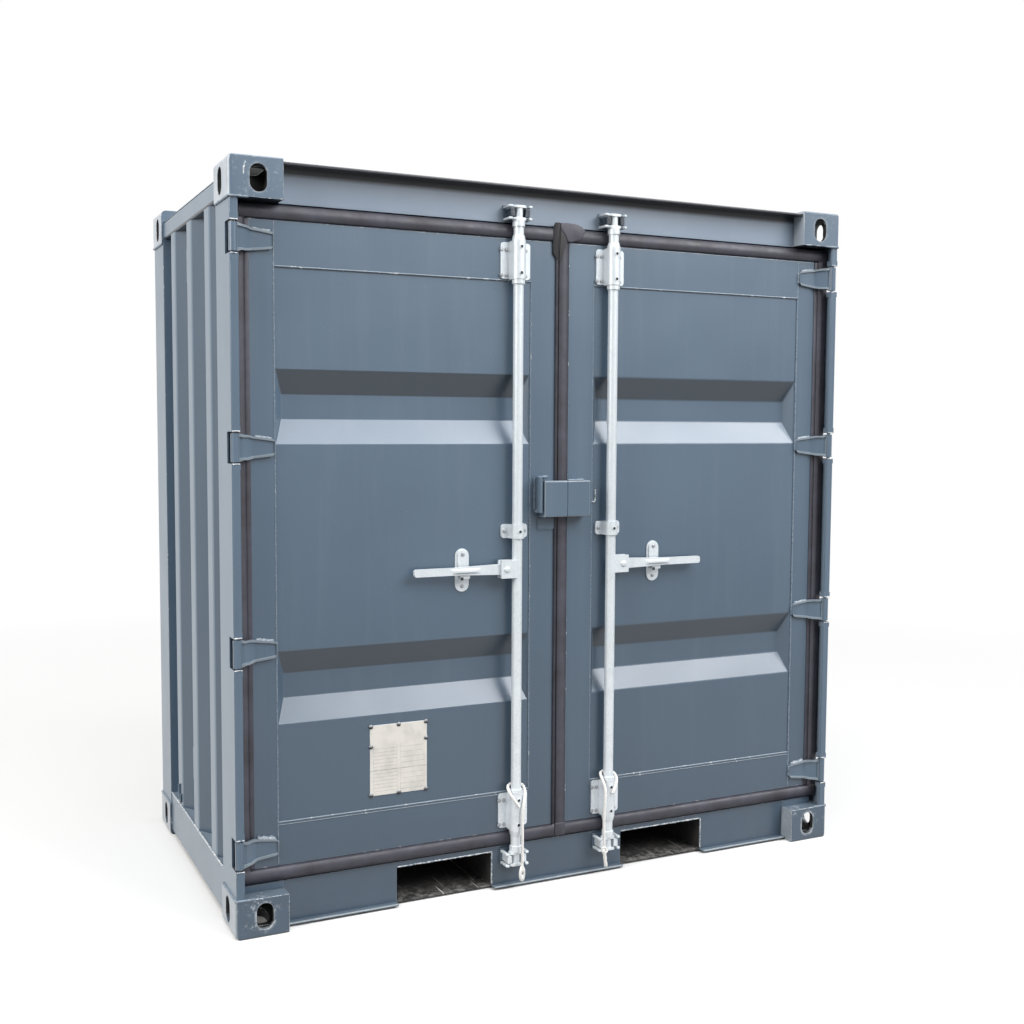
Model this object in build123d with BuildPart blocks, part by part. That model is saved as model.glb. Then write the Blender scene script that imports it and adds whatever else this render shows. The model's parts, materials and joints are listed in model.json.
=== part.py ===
from build123d import *
import os
from math import tan, radians

os.makedirs("parts", exist_ok=True)

# Storage container with two swing doors, in millimetres.
# X runs across the door end, the doors face -Y, Z is up, and the origin is under the middle.

# Whole container
container_width = 2200.0
container_depth = 1219.0
container_height = 2280.0
overrun = 4.0

# Corner castings
casting_width = 162.0
casting_length = 178.0
casting_height = 118.0
casting_wall = 16.0
casting_plate = 28.0
casting_back_plate = 14.0
casting_edge_radius = 16.0
slot_length = 124.0
slot_width = 63.5
slot_from_end = 101.5
slot_from_side = 89.0
hand_hole_width = 51.0
hand_hole_height = 80.0
hand_hole_drop = 62.0

# Corner posts: the front ones carry the hinges in notches behind a thick front lip
frame_inset = 5.0
post_wall = 6.0
lip_width = 26.0
lip_thickness = 12.0
post_edge_radius = 5.0
stop_depth = 104.0
post_box_width = 60.0
post_return = 45.0

# Hinges and pins
hinge_count = 4
hinge_from_end = 61.5
knuckle_radius = 12.5
knuckle_height = 82.0
notch_height = 92.0
notch_depth = 60.0
lug_height = 18.0
lug_depth = 26.0
pin_radius = 6.0
pin_fit = 0.1
knuckle_fit = 0.4
blade_thickness = 10.0
blade_flat = 26.0
blade_bend = 34.0
blade_reach = 104.0
blade_tip_height = 54.0
blade_tip_radius = 12.0

# Rails, header, sill and sheets
rail_inset = 8.0
rail_wall = 4.0
rail_corner = 8.0
top_rail_size = 60.0
top_rail_drop = 43.0
bottom_rail_low = 20.0
bottom_rail_top = 160.0
bottom_rail_flange = 45.0
header_face_depth = 58.0
header_back_depth = 118.0
header_clearance = 2.0
header_top_drop = 8.0
header_lip_front = 8.0
header_lip_thickness = 8.0
stop_plate = 6.0
header_stop_overlap = 32.0
sill_face_depth = 58.0
sill_flange_front = 26.0
sill_low = 6.0
sill_top = 141.0
floor_top = 200.0
floor_thickness = 28.0
floor_side_gap = 8.0
sheet = 2.0
ridge_flat = 72.0
ridge_slope = 68.0
ridge_pitch = 275.0
ridge_depth = 36.0
wall_inset = 10.0
roof_rib_count = 4
roof_rib_pitch = 205.0
roof_rib_width = 120.0
roof_rib_height = 20.0
roof_rib_slope = 20.0
roof_rib_end = 100.0
roof_inset = 10.0

# Fork pockets and cross members
fork_spacing = 820.0
fork_width = 330.0
fork_low = 10.0
fork_top = 124.0
fork_plate = 4.0
beam_low = 60.0
beam_flange = 45.0
beam_spacing = 340.0

# Doors
door_side_gap = 58.0
door_gap = 44.0
door_face_depth = 52.0
door_thickness = 46.0
door_low = 189.0
door_top_drop = 168.0
hinge_stile_width = 85.0
lock_stile_width = 94.0
door_rail_height = 124.0
door_bar_wall = 4.0
panel_recess = 3.0
trough_from_end = 417.5
trough_height = 222.0
trough_flat = 74.0
trough_depth = 36.0
trough_end_slope = 26.0
trough_margin = 4.0

# Door gaskets
gasket_width = 43.0
gasket_side_width = 42.0
gasket_front = 46.0
gasket_thickness = 18.0
gasket_round = 6.0
gasket_clearance = 5.0
gasket_lip_gap = 2.0
gasket_lip_width = 8.0
gasket_seam = 1.5

# Lock rods with a cam at each end
rod_offset = 174.0
rod_depth = 25.0
rod_radius = 16.5
rod_wall = 4.0
rod_fit = 0.75
cam_low = 104.0
cam_top_drop = 92.0
cam_half = 23.0
cam_flange = 8.0
cam_length = 50.0
cam_width = 30.0
cam_neck_radius = 13.0
collar_radius = 21.0
collar_height = 14.0
ring_radius = 20.0
ring_height = 20.0

# Cam keepers on the header and the sill
keeper_plate = 4.0
keeper_width = 84.0
keeper_height = 56.0
keeper_gap = 18.0
keeper_lug_width = 16.0
keeper_lug_height = 26.0
keeper_lug_front = 13.0

# Rod guides
guide_from_end = 71.5
guide_width = 104.0
guide_height = 115.0
guide_plate = 5.0
guide_tube_height = 120.0
guide_tube_radius = 22.5
guide_taper = 18.0
guide_taper_width = 4.0
guide_corner = 10.0
strap_rise = 28.0
strap_width = 92.0
strap_height = 45.0

# Handles, hubs and catches
handle_drop = 92.0
hub_reach = 62.0
hub_height = 58.0
hub_depth = 32.0
hub_slot = 14.0
hub_root = 22.0
hub_pin_reach = 42.0
hub_pin_radius = 6.0
handle_thickness = 12.0
handle_length = 356.0
handle_root_height = 34.0
handle_tip_height = 24.0
handle_root_round = 15.0
handle_tip_round = 8.0
handle_grip_share = 0.55
ridge_length = 112.0
ridge_height = 16.0
ridge_rise = 7.0
catch_reach = 182.0
catch_width = 48.0
catch_height = 138.0
catch_plate = 4.0
catch_boss_width = 34.0
catch_boss_height = 62.0
catch_boss_gap = 4.0
catch_boss_depth = 9.0
catch_seat_depth = 30.0
catch_seat_height = 12.0
catch_gap = 0.5

# Lock box, half on each door
box_rise = 130.0
box_height = 118.0
box_half_width = 85.0
box_front = 6.0
box_wall = 4.0
box_seam = 2.0
box_bevel = 5.0
guard_wall = 5.5
guard_height = 115.0
guard_rise = 13.5
guard_gap = 8.0
guard_hood_width = 36.0
guard_hood_depth = 22.0
tab_width = 60.0
tab_height = 36.0
tab_drop = 6.0
tab_from_gap = 29.0

# Data plate on the left door
plate_width = 190.0
plate_height = 240.0
plate_thickness = 2.0
plate_from_stile = 292.0
plate_from_rail = 34.0

# Side vents and tie-back hooks
vent_width = 42.0
vent_height = 130.0
vent_depth = 14.0
vent_low_rise = 180.0
vent_top_drop = 125.0
hook_bar_radius = 4.0
hook_height = 60.0
hook_reach = 26.0
hook_rise = 14.0

# Tie ropes
rope_radius = 4.5
rope_hitch_rise = 8.0
rope_bend_share = 0.45

half_width = container_width / 2
half_depth = container_depth / 2
casting_low = container_height - casting_height
door_top = container_height - door_top_drop
door_middle = (door_low + door_top) / 2
door_width = half_width - door_side_gap - door_gap / 2
panel_width = door_width - hinge_stile_width - lock_stile_width
panel_height = door_top - door_low - 2 * door_rail_height
panel_depth = door_face_depth + panel_recess
trough_pitch = panel_height - 2 * trough_from_end
guide_offset = (door_top - door_low) / 2 - guide_from_end
hinge_pitch = (door_top - door_low - 2 * hinge_from_end) / (hinge_count - 1)
hinge_heights = [
    door_middle + (index - (hinge_count - 1) / 2) * hinge_pitch for index in range(hinge_count)
]


def from_left(inset):
    return inset - half_width


def from_front(depth):
    return depth - half_depth


def front_plane(depth):
    return Plane.XZ.offset(-from_front(depth))


door_left = from_left(door_side_gap)
door_right = -door_gap / 2
door_centre = (door_left + door_right) / 2
panel_left = door_left + hinge_stile_width
panel_right = door_right - lock_stile_width
panel_centre = (panel_left + panel_right) / 2
pin_x = from_left(frame_inset + knuckle_radius)
pin_y = from_front(frame_inset + knuckle_radius)
rod_x = -rod_offset
rod_y = from_front(rod_depth)
cam_top = container_height - cam_top_drop
handle_height = door_middle - handle_drop
top_rail_top = container_height - top_rail_drop
top_rail_low = top_rail_top - top_rail_size
header_low = casting_low - header_clearance
header_top = container_height - header_top_drop
wall_valley = wall_inset + ridge_depth


def save(piece, name):
    piece.part.label = name
    export_step(piece.part, f"parts/{name}.step")


def save_pair(piece, name):
    save(piece, f"left_{name}")
    with BuildPart() as twin:
        mirror(piece.part, about=Plane.YZ)
    save(twin, f"right_{name}")


# Corner castings: hollow blocks with a slot in the outer plate and a hand hole in each outer side
with BuildPart() as corner_casting:
    with BuildSketch(Plane.XY.offset(casting_low)):
        with Locations((from_left(casting_width / 2), from_front(casting_length / 2))):
            Rectangle(casting_width, casting_length)
    extrude(amount=casting_height)
    outer_corner = corner_casting.edges().filter_by(Axis.Z).sort_by(Axis.X)[:2].sort_by(Axis.Y)[0]
    top_face = corner_casting.faces().sort_by(Axis.Z)[-1]
    top_edges = [top_face.edges().sort_by(Axis.X)[0], top_face.edges().sort_by(Axis.Y)[0]]
    fillet([outer_corner] + top_edges, casting_edge_radius)
    cavity_height = casting_height - casting_plate - casting_back_plate
    cavity_middle = casting_low + casting_back_plate + cavity_height / 2
    with Locations((from_left(casting_width / 2), from_front(casting_length / 2), cavity_middle)):
        Box(
            casting_width - 2 * casting_wall,
            casting_length - 2 * casting_wall,
            cavity_height,
            mode=Mode.SUBTRACT,
        )
    with BuildSketch(Plane.XY.offset(container_height)):
        with Locations((from_left(slot_from_side), from_front(slot_from_end))):
            SlotOverall(slot_length, slot_width, rotation=90)
    extrude(amount=-casting_plate - overrun, mode=Mode.SUBTRACT)
    hole_height = container_height - hand_hole_drop
    with BuildSketch(front_plane(0)):
        with Locations((from_left(slot_from_side), hole_height)):
            SlotOverall(hand_hole_height, hand_hole_width, rotation=90)
    extrude(amount=-casting_wall - overrun, mode=Mode.SUBTRACT)
    with BuildSketch(Plane.YZ.offset(from_left(0))):
        with Locations((from_front(slot_from_end), hole_height)):
            SlotOverall(hand_hole_height, hand_hole_width, rotation=90)
    extrude(amount=casting_wall + overrun, mode=Mode.SUBTRACT)

with BuildPart() as front_top_castings:
    add(corner_casting.part)
    mirror(about=Plane.YZ)
save(front_top_castings, "front_top_castings")

with BuildPart() as rear_top_castings:
    mirror(front_top_castings.part, about=Plane.XZ)
save(rear_top_castings, "rear_top_castings")

with BuildPart() as front_bottom_castings:
    mirror(front_top_castings.part, about=Plane.XY.offset(container_height / 2))
save(front_bottom_castings, "front_bottom_castings")

with BuildPart() as rear_bottom_castings:
    mirror(front_bottom_castings.part, about=Plane.XZ)
save(rear_bottom_castings, "rear_bottom_castings")

# Front posts: J-shaped front bar with a closed box behind it that the doors shut against
post_left = from_left(frame_inset)
post_inner = post_left + post_wall
lip_right = post_left + lip_width
box_right = post_left + post_box_width
post_front = from_front(frame_inset)
lip_back = post_front + lip_thickness
stop_front = from_front(stop_depth)
post_back = from_front(casting_length)
with BuildPart() as front_post:
    with BuildSketch(Plane.XY.offset(casting_height)):
        with BuildLine():
            Polyline(
                (post_left, post_front),
                (lip_right, post_front),
                (lip_right, lip_back),
                (post_inner, lip_back),
                (post_inner, stop_front),
                (box_right, stop_front),
                (box_right, post_back),
                (post_left, post_back),
                close=True,
            )
        make_face()
        lip_corners = vertices().filter_by(lambda corner: abs(corner.Y - post_front) < post_wall)
        fillet(lip_corners, post_edge_radius)
        with Locations(((post_left + box_right) / 2, (stop_front + post_back) / 2)):
            Rectangle(
                post_box_width - 2 * post_wall,
                post_back - stop_front - 2 * post_wall,
                mode=Mode.SUBTRACT,
            )
    extrude(amount=casting_low - casting_height)
    lug_span = notch_height + 2 * lug_height
    with Locations(*[((post_left + lip_right) / 2, post_front + lug_depth / 2, z) for z in hinge_heights]):
        Box(lip_width, lug_depth, lug_span)
    with Locations(*[((post_left + lip_right) / 2, from_front(notch_depth / 2), z) for z in hinge_heights]):
        Box(lip_width + 2 * overrun, notch_depth, notch_height, mode=Mode.SUBTRACT)
    with Locations(*[(pin_x, pin_y, z) for z in hinge_heights]):
        Cylinder(pin_radius + pin_fit, lug_span, mode=Mode.SUBTRACT)
save_pair(front_post, "front_post")

with BuildPart() as hinge_pins:
    with Locations(*[(pin_x, pin_y, z) for z in hinge_heights]):
        Cylinder(pin_radius, lug_span)
    mirror(about=Plane.YZ)
save(hinge_pins, "hinge_pins")

# Rear posts: folded plate, open to the inside, with a return along each wall
rear_back = -post_front
rear_front = -post_back
rear_right = from_left(casting_width)
with BuildPart() as rear_posts:
    with BuildSketch(Plane.XY.offset(casting_height)):
        with BuildLine():
            Polyline(
                (post_left, rear_front),
                (post_left + post_return, rear_front),
                (post_left + post_return, rear_front + post_wall),
                (post_inner, rear_front + post_wall),
                (post_inner, rear_back - post_wall),
                (rear_right - post_wall, rear_back - post_wall),
                (rear_right - post_wall, rear_back - post_return),
                (rear_right, rear_back - post_return),
                (rear_right, rear_back),
                (post_left, rear_back),
                close=True,
            )
        make_face()
    extrude(amount=casting_low - casting_height)
    mirror(about=Plane.YZ)
save(rear_posts, "rear_posts")

# Top side rails: square tubes between the castings
side_span = container_depth - 2 * casting_length
top_rail_middle = top_rail_top - top_rail_size / 2
rail_bore = top_rail_size - 2 * rail_wall
with BuildPart() as top_side_rails:
    with BuildSketch(front_plane(casting_length)):
        with Locations((from_left(rail_inset + top_rail_size / 2), top_rail_middle)):
            RectangleRounded(top_rail_size, top_rail_size, rail_corner)
            RectangleRounded(rail_bore, rail_bore, rail_corner - rail_wall, mode=Mode.SUBTRACT)
    extrude(amount=-side_span)
    mirror(about=Plane.YZ)
save(top_side_rails, "top_side_rails")

# Bottom side rails: channels that open to the inside
rail_outer = from_left(rail_inset)
with BuildPart() as bottom_side_rails:
    with BuildSketch(front_plane(casting_length)):
        with BuildLine():
            Polyline(
                (rail_outer, bottom_rail_low),
                (rail_outer + bottom_rail_flange, bottom_rail_low),
                (rail_outer + bottom_rail_flange, bottom_rail_low + rail_wall),
                (rail_outer + rail_wall, bottom_rail_low + rail_wall),
                (rail_outer + rail_wall, bottom_rail_top - rail_wall),
                (rail_outer + bottom_rail_flange, bottom_rail_top - rail_wall),
                (rail_outer + bottom_rail_flange, bottom_rail_top),
                (rail_outer, bottom_rail_top),
                close=True,
            )
        make_face()
    extrude(amount=-side_span)
    mirror(about=Plane.YZ)
save(bottom_side_rails, "bottom_side_rails")

# Door header: hollow box between the castings with a lip over the lock gear and a stop for the doors
end_span = container_width - 2 * casting_width
stop_span = container_width - 2 * (frame_inset + post_box_width)
header_face = from_front(header_face_depth)
header_back = from_front(header_back_depth)
lip_front = from_front(header_lip_front)
header_stop_low = door_top - header_stop_overlap
with BuildPart() as door_header:
    with BuildSketch(Plane.YZ.offset(-end_span / 2)):
        with BuildLine():
            Polyline(
                (header_face, header_low),
                (header_face, header_top - header_lip_thickness),
                (lip_front, header_top - header_lip_thickness),
                (lip_front, header_top),
                (header_back, header_top),
                (header_back, header_low),
                close=True,
            )
        make_face()
        with Locations(((header_face + header_back) / 2, (header_low + header_top) / 2)):
            Rectangle(
                header_back - header_face - 2 * rail_wall,
                header_top - header_low - 2 * header_lip_thickness,
                mode=Mode.SUBTRACT,
            )
    extrude(amount=end_span)
    with BuildSketch(front_plane(stop_depth)):
        with Locations((0, (header_stop_low + header_low) / 2)):
            Rectangle(stop_span, header_low - header_stop_low)
    extrude(amount=-stop_plate)
save(door_header, "door_header")

# Door sill: folded plate with a toe flange, cut away at the fork pockets
sill_face = from_front(sill_face_depth)
sill_toe = from_front(sill_flange_front)
sill_stop_low = sill_top - stop_plate
with BuildPart() as door_sill:
    with BuildSketch(Plane.YZ.offset(-end_span / 2)):
        with BuildLine():
            Polyline(
                (sill_toe, sill_low),
                (sill_face + stop_plate, sill_low),
                (sill_face + stop_plate, sill_top - stop_plate),
                (stop_front + stop_plate, sill_top - stop_plate),
                (stop_front + stop_plate, sill_top),
                (sill_face, sill_top),
                (sill_face, sill_low + stop_plate),
                (sill_toe, sill_low + stop_plate),
                close=True,
            )
        make_face()
    extrude(amount=end_span)
    with BuildSketch(front_plane(stop_depth)):
        with Locations((0, (sill_stop_low + floor_top) / 2)):
            Rectangle(stop_span, floor_top - sill_stop_low)
    extrude(amount=-stop_plate)
    with BuildSketch(front_plane(0)):
        with Locations((0, fork_top / 2)):
            with GridLocations(fork_spacing, 0, 2, 1):
                Rectangle(fork_width, fork_top)
    extrude(amount=-stop_depth, mode=Mode.SUBTRACT)
save(door_sill, "door_sill")

# Rear rails: a square tube at the top and a channel with fork openings at the bottom
with BuildPart() as rear_top_rail:
    with BuildSketch(Plane.YZ.offset(-end_span / 2)):
        with Locations((half_depth - rail_inset - top_rail_size / 2, top_rail_middle)):
            RectangleRounded(top_rail_size, top_rail_size, rail_corner)
            RectangleRounded(rail_bore, rail_bore, rail_corner - rail_wall, mode=Mode.SUBTRACT)
    extrude(amount=end_span)
save(rear_top_rail, "rear_top_rail")

rear_web = half_depth - rail_inset
with BuildPart() as rear_bottom_rail:
    with BuildSketch(Plane.YZ.offset(-end_span / 2)):
        with BuildLine():
            Polyline(
                (rear_web, sill_low),
                (rear_web - bottom_rail_flange, sill_low),
                (rear_web - bottom_rail_flange, sill_low + rail_wall),
                (rear_web - rail_wall, sill_low + rail_wall),
                (rear_web - rail_wall, bottom_rail_top - rail_wall),
                (rear_web - bottom_rail_flange, bottom_rail_top - rail_wall),
                (rear_web - bottom_rail_flange, bottom_rail_top),
                (rear_web, bottom_rail_top),
                close=True,
            )
        make_face()
    extrude(amount=end_span)
    with BuildSketch(front_plane(container_depth)):
        with Locations((0, fork_top / 2)):
            with GridLocations(fork_spacing, 0, 2, 1):
                Rectangle(fork_width + 2 * fork_plate, fork_top + 2 * fork_plate)
    extrude(amount=rail_inset + bottom_rail_flange + overrun, mode=Mode.SUBTRACT)
save(rear_bottom_rail, "rear_bottom_rail")


# A corrugated wall's outline along its length: flat ends in the valley, ridges towards the outside
def ridge_centres(span):
    count = int((span - ridge_flat - 2 * ridge_slope) / ridge_pitch) + 1
    return [(index - (count - 1) / 2) * ridge_pitch for index in range(count)]


def corrugation(span, valley, ridge):
    line = [(-span / 2, valley)]
    for centre in ridge_centres(span):
        line.append((centre - ridge_flat / 2 - ridge_slope, valley))
        line.append((centre - ridge_flat / 2, ridge))
        line.append((centre + ridge_flat / 2, ridge))
        line.append((centre + ridge_flat / 2 + ridge_slope, valley))
    line.append((span / 2, valley))
    return line


with BuildPart() as side_wall:
    outer = corrugation(side_span, wall_valley, wall_inset)
    with BuildSketch(Plane.XY.offset(bottom_rail_top)):
        with BuildLine():
            Polyline(
                *[(from_left(inset), along) for along, inset in outer],
                *[(from_left(inset + sheet), along) for along, inset in reversed(outer)],
                close=True,
            )
        make_face()
    extrude(amount=top_rail_low - bottom_rail_top)
save_pair(side_wall, "side_wall")

with BuildPart() as rear_wall:
    outer = corrugation(end_span, wall_valley, wall_inset)
    with BuildSketch(Plane.XY.offset(bottom_rail_top)):
        with BuildLine():
            Polyline(
                *[(along, half_depth - inset) for along, inset in outer],
                *[(along, half_depth - inset - sheet) for along, inset in reversed(outer)],
                close=True,
            )
        make_face()
    extrude(amount=top_rail_low - bottom_rail_top)
save(rear_wall, "rear_wall")

# Roof: one sheet with its corners cut back to the castings and pressed ribs across it
roof_front = header_back
roof_back = half_depth - roof_inset
with BuildPart() as roof:
    with BuildSketch(Plane.XY.offset(top_rail_top)):
        with Locations((0, (roof_front + roof_back) / 2)):
            Rectangle(end_span, roof_back - roof_front)
        Rectangle(container_width - 2 * roof_inset, side_span)
    extrude(amount=sheet)
    for base, mode in ((top_rail_top + sheet, Mode.ADD), (top_rail_top, Mode.SUBTRACT)):
        for index in range(roof_rib_count):
            rib_y = (index - (roof_rib_count - 1) / 2) * roof_rib_pitch
            rib_length = container_width - 2 * roof_rib_end
            with BuildSketch(Plane.XY.offset(base)):
                with Locations((0, rib_y)):
                    Rectangle(rib_length, roof_rib_width)
            with BuildSketch(Plane.XY.offset(base + roof_rib_height)):
                with Locations((0, rib_y)):
                    Rectangle(rib_length - 2 * roof_rib_slope, roof_rib_width - 2 * roof_rib_slope)
            loft(mode=mode)
save(roof, "roof")

# Plywood floor between the walls, cut back at the front posts
floor_left = from_left(wall_valley + sheet + floor_side_gap)
floor_front = stop_front + stop_plate
floor_back = half_depth - wall_valley - sheet - floor_side_gap
floor_post_gap = box_right + floor_side_gap
with BuildPart() as plywood_floor:
    with BuildSketch(Plane.XY.offset(floor_top - floor_thickness)):
        with Locations((0, (floor_front + floor_back) / 2)):
            Rectangle(-2 * floor_post_gap, floor_back - floor_front)
        with Locations((0, (post_back + floor_side_gap + floor_back) / 2)):
            Rectangle(-2 * floor_left, floor_back - post_back - floor_side_gap)
    extrude(amount=floor_thickness)
save(plywood_floor, "plywood_floor")

# Fork pockets: closed tunnels from the sill to the rear rail, with cheeks up to the floor
fork_front = sill_face_depth + stop_plate
fork_run = container_depth - fork_front - rail_inset
cheek_low = fork_top + fork_plate
cheek_top = floor_top - floor_thickness
beam_top = cheek_top
with BuildPart() as fork_pockets:
    with BuildSketch(front_plane(fork_front)):
        with GridLocations(fork_spacing, 0, 2, 1):
            with Locations((0, (fork_low + fork_top) / 2)):
                Rectangle(fork_width + 2 * fork_plate, fork_top - fork_low + 2 * fork_plate)
                Rectangle(fork_width, fork_top - fork_low, mode=Mode.SUBTRACT)
    extrude(amount=-fork_run)
    with BuildSketch(front_plane(stop_depth + stop_plate)):
        with GridLocations(fork_spacing, 0, 2, 1):
            with Locations((0, (cheek_low + cheek_top) / 2)):
                with GridLocations(fork_width + fork_plate, 0, 2, 1):
                    Rectangle(fork_plate, cheek_top - cheek_low)
    extrude(amount=-(floor_back - floor_front))
save(fork_pockets, "fork_pockets")

# Cross members: channels under the floor, from the side rails to the pockets and between them
inner_reach = fork_spacing / 2 - fork_width / 2 - fork_plate
outer_reach = fork_spacing / 2 + fork_width / 2 + fork_plate
side_reach = half_width - rail_inset - bottom_rail_flange
beam_spans = (
    (-side_reach, -outer_reach),
    (-inner_reach, inner_reach),
    (outer_reach, side_reach),
)
with BuildPart() as cross_members:
    for beam_y in (-beam_spacing / 2, beam_spacing / 2):
        for low_x, high_x in beam_spans:
            with BuildSketch(Plane.YZ.offset(low_x)):
                with Locations((beam_y, (beam_low + beam_top) / 2)):
                    Rectangle(beam_flange, beam_top - beam_low)
                with Locations((beam_y + rail_wall, (beam_low + beam_top) / 2)):
                    Rectangle(beam_flange, beam_top - beam_low - 2 * rail_wall, mode=Mode.SUBTRACT)
            extrude(amount=high_x - low_x)
save(cross_members, "cross_members")

# Cam keepers: a plate with two lugs that the cam's flanges close above and below
with BuildPart() as keeper:
    with BuildSketch(front_plane(header_face_depth)):
        Rectangle(keeper_width, keeper_height)
    extrude(amount=keeper_plate)
    lug_middle = keeper_gap + keeper_lug_width / 2
    with BuildSketch(front_plane(header_face_depth)):
        with GridLocations(2 * lug_middle, 0, 2, 1):
            RectangleRounded(keeper_lug_width, keeper_lug_height, keeper_lug_width / 4)
    extrude(amount=header_face_depth - keeper_lug_front)

with BuildPart() as cam_keepers:
    with Locations((rod_x, 0, cam_low), (rod_x, 0, cam_top)):
        add(keeper.part)
    mirror(about=Plane.YZ)
save(cam_keepers, "cam_keepers")

# Side vents: small hoods in the valley behind the middle ridge, two on each wall
vent_y = ridge_pitch / 2
vent_face = from_left(wall_valley)
vent_heights = (bottom_rail_top + vent_low_rise, top_rail_low - vent_top_drop)
with BuildPart() as side_vents:
    for vent_z in vent_heights:
        with BuildSketch(Plane.YZ.offset(vent_face)):
            with Locations((vent_y, vent_z)):
                RectangleRounded(vent_width, vent_height, vent_width / 4)
        with BuildSketch(Plane.YZ.offset(vent_face - vent_depth)):
            with Locations((vent_y, vent_z)):
                RectangleRounded(vent_width - vent_depth, vent_height - vent_depth, vent_width / 5)
        loft()
    mirror(about=Plane.YZ)
save(side_vents, "side_vents")

# Tie-back hooks: bent bars on the rear ridge of each wall, above the rail
hook_y = ridge_centres(side_span)[-1]
hook_x = from_left(wall_inset - hook_bar_radius)
hook_low = bottom_rail_top + hook_rise
with BuildPart() as tie_back_hooks:
    with BuildLine() as hook_path:
        FilletPolyline(
            (hook_x, hook_y, hook_low + hook_height),
            (hook_x, hook_y, hook_low),
            (hook_x, hook_y - hook_reach, hook_low),
            (hook_x, hook_y - hook_reach, hook_low + hook_height / 2),
            radius=2 * hook_bar_radius,
        )
    with BuildSketch(Plane(hook_path.wire() @ 0, z_dir=hook_path.wire() % 0)):
        Circle(hook_bar_radius)
    sweep()
    mirror(about=Plane.YZ)
save(tie_back_hooks, "tie_back_hooks")

# Door frames: hollow stiles and rails welded into one ring
bar_bore = door_thickness - 2 * door_bar_wall
with BuildPart() as door_frame:
    with BuildSketch(front_plane(door_face_depth)):
        with Locations((door_centre, door_middle)):
            Rectangle(door_width, door_top - door_low)
        with Locations((panel_centre, door_middle)):
            Rectangle(panel_width, panel_height, mode=Mode.SUBTRACT)
    extrude(amount=-door_thickness)
    with BuildSketch(front_plane(door_face_depth + door_bar_wall)):
        with Locations((door_centre, door_middle)):
            Rectangle(door_width - 2 * door_bar_wall, door_top - door_low - 2 * door_bar_wall)
        with Locations((panel_centre, door_middle)):
            Rectangle(
                panel_width + 2 * door_bar_wall,
                panel_height + 2 * door_bar_wall,
                mode=Mode.SUBTRACT,
            )
    extrude(amount=-bar_bore, mode=Mode.SUBTRACT)
save_pair(door_frame, "door_frame")

# Door panels: one sheet with two pressed troughs
trough_length = panel_width - 2 * trough_margin
with BuildPart() as door_panel:
    with BuildSketch(front_plane(panel_depth)):
        with Locations((panel_centre, door_middle)):
            Rectangle(panel_width, panel_height)
    extrude(amount=-sheet)
    for shift, mode in ((sheet, Mode.ADD), (0, Mode.SUBTRACT)):
        for side in (-1, 1):
            trough_z = door_middle + side * trough_pitch / 2
            with BuildSketch(front_plane(panel_depth + shift)):
                with Locations((panel_centre, trough_z)):
                    Rectangle(trough_length, trough_height)
            with BuildSketch(front_plane(panel_depth + shift + trough_depth)):
                with Locations((panel_centre, trough_z)):
                    Rectangle(trough_length - 2 * trough_end_slope, trough_flat)
            loft(mode=mode)
save_pair(door_panel, "door_panel")

# Gaskets: a rounded band round each door, and the right one also closes the gap between the doors
gasket_low = door_low - gasket_width
gasket_high = door_top + gasket_width
gasket_left = door_left - gasket_side_width


lip_right = door_right + gasket_lip_gap
band_left = lip_right + gasket_seam


def door_gasket(centre_band):
    with BuildPart() as gasket:
        with BuildSketch(front_plane(gasket_front)):
            with Locations(((gasket_left + door_right) / 2, (gasket_low + gasket_high) / 2)):
                Rectangle(door_right - gasket_left, gasket_high - gasket_low)
            if centre_band:
                with Locations((door_right + centre_band / 2, (gasket_low + gasket_high) / 2)):
                    Rectangle(centre_band, gasket_high - gasket_low)
            with Locations((door_centre, door_middle)):
                Rectangle(door_width, door_top - door_low, mode=Mode.SUBTRACT)
            if not centre_band:
                with Locations((door_right, door_middle)):
                    Rectangle(2 * overrun, door_top - door_low, mode=Mode.SUBTRACT)
        extrude(amount=-gasket_thickness)
        fillet(gasket.faces().sort_by(Axis.Y)[0].outer_wire().edges(), gasket_round)
    return gasket


with BuildPart() as left_door_gasket:
    add(door_gasket(0).part)
    with BuildSketch(front_plane(gasket_front)):
        with Locations((lip_right - gasket_lip_width / 2, (gasket_low + gasket_high) / 2)):
            Rectangle(gasket_lip_width, gasket_high - gasket_low)
    extrude(amount=-(door_face_depth - gasket_front))
save(left_door_gasket, "left_door_gasket")
with BuildPart() as right_door_gasket:
    mirror(door_gasket(door_gap / 2 - band_left).part, about=Plane.YZ)
save(right_door_gasket, "right_door_gasket")

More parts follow.
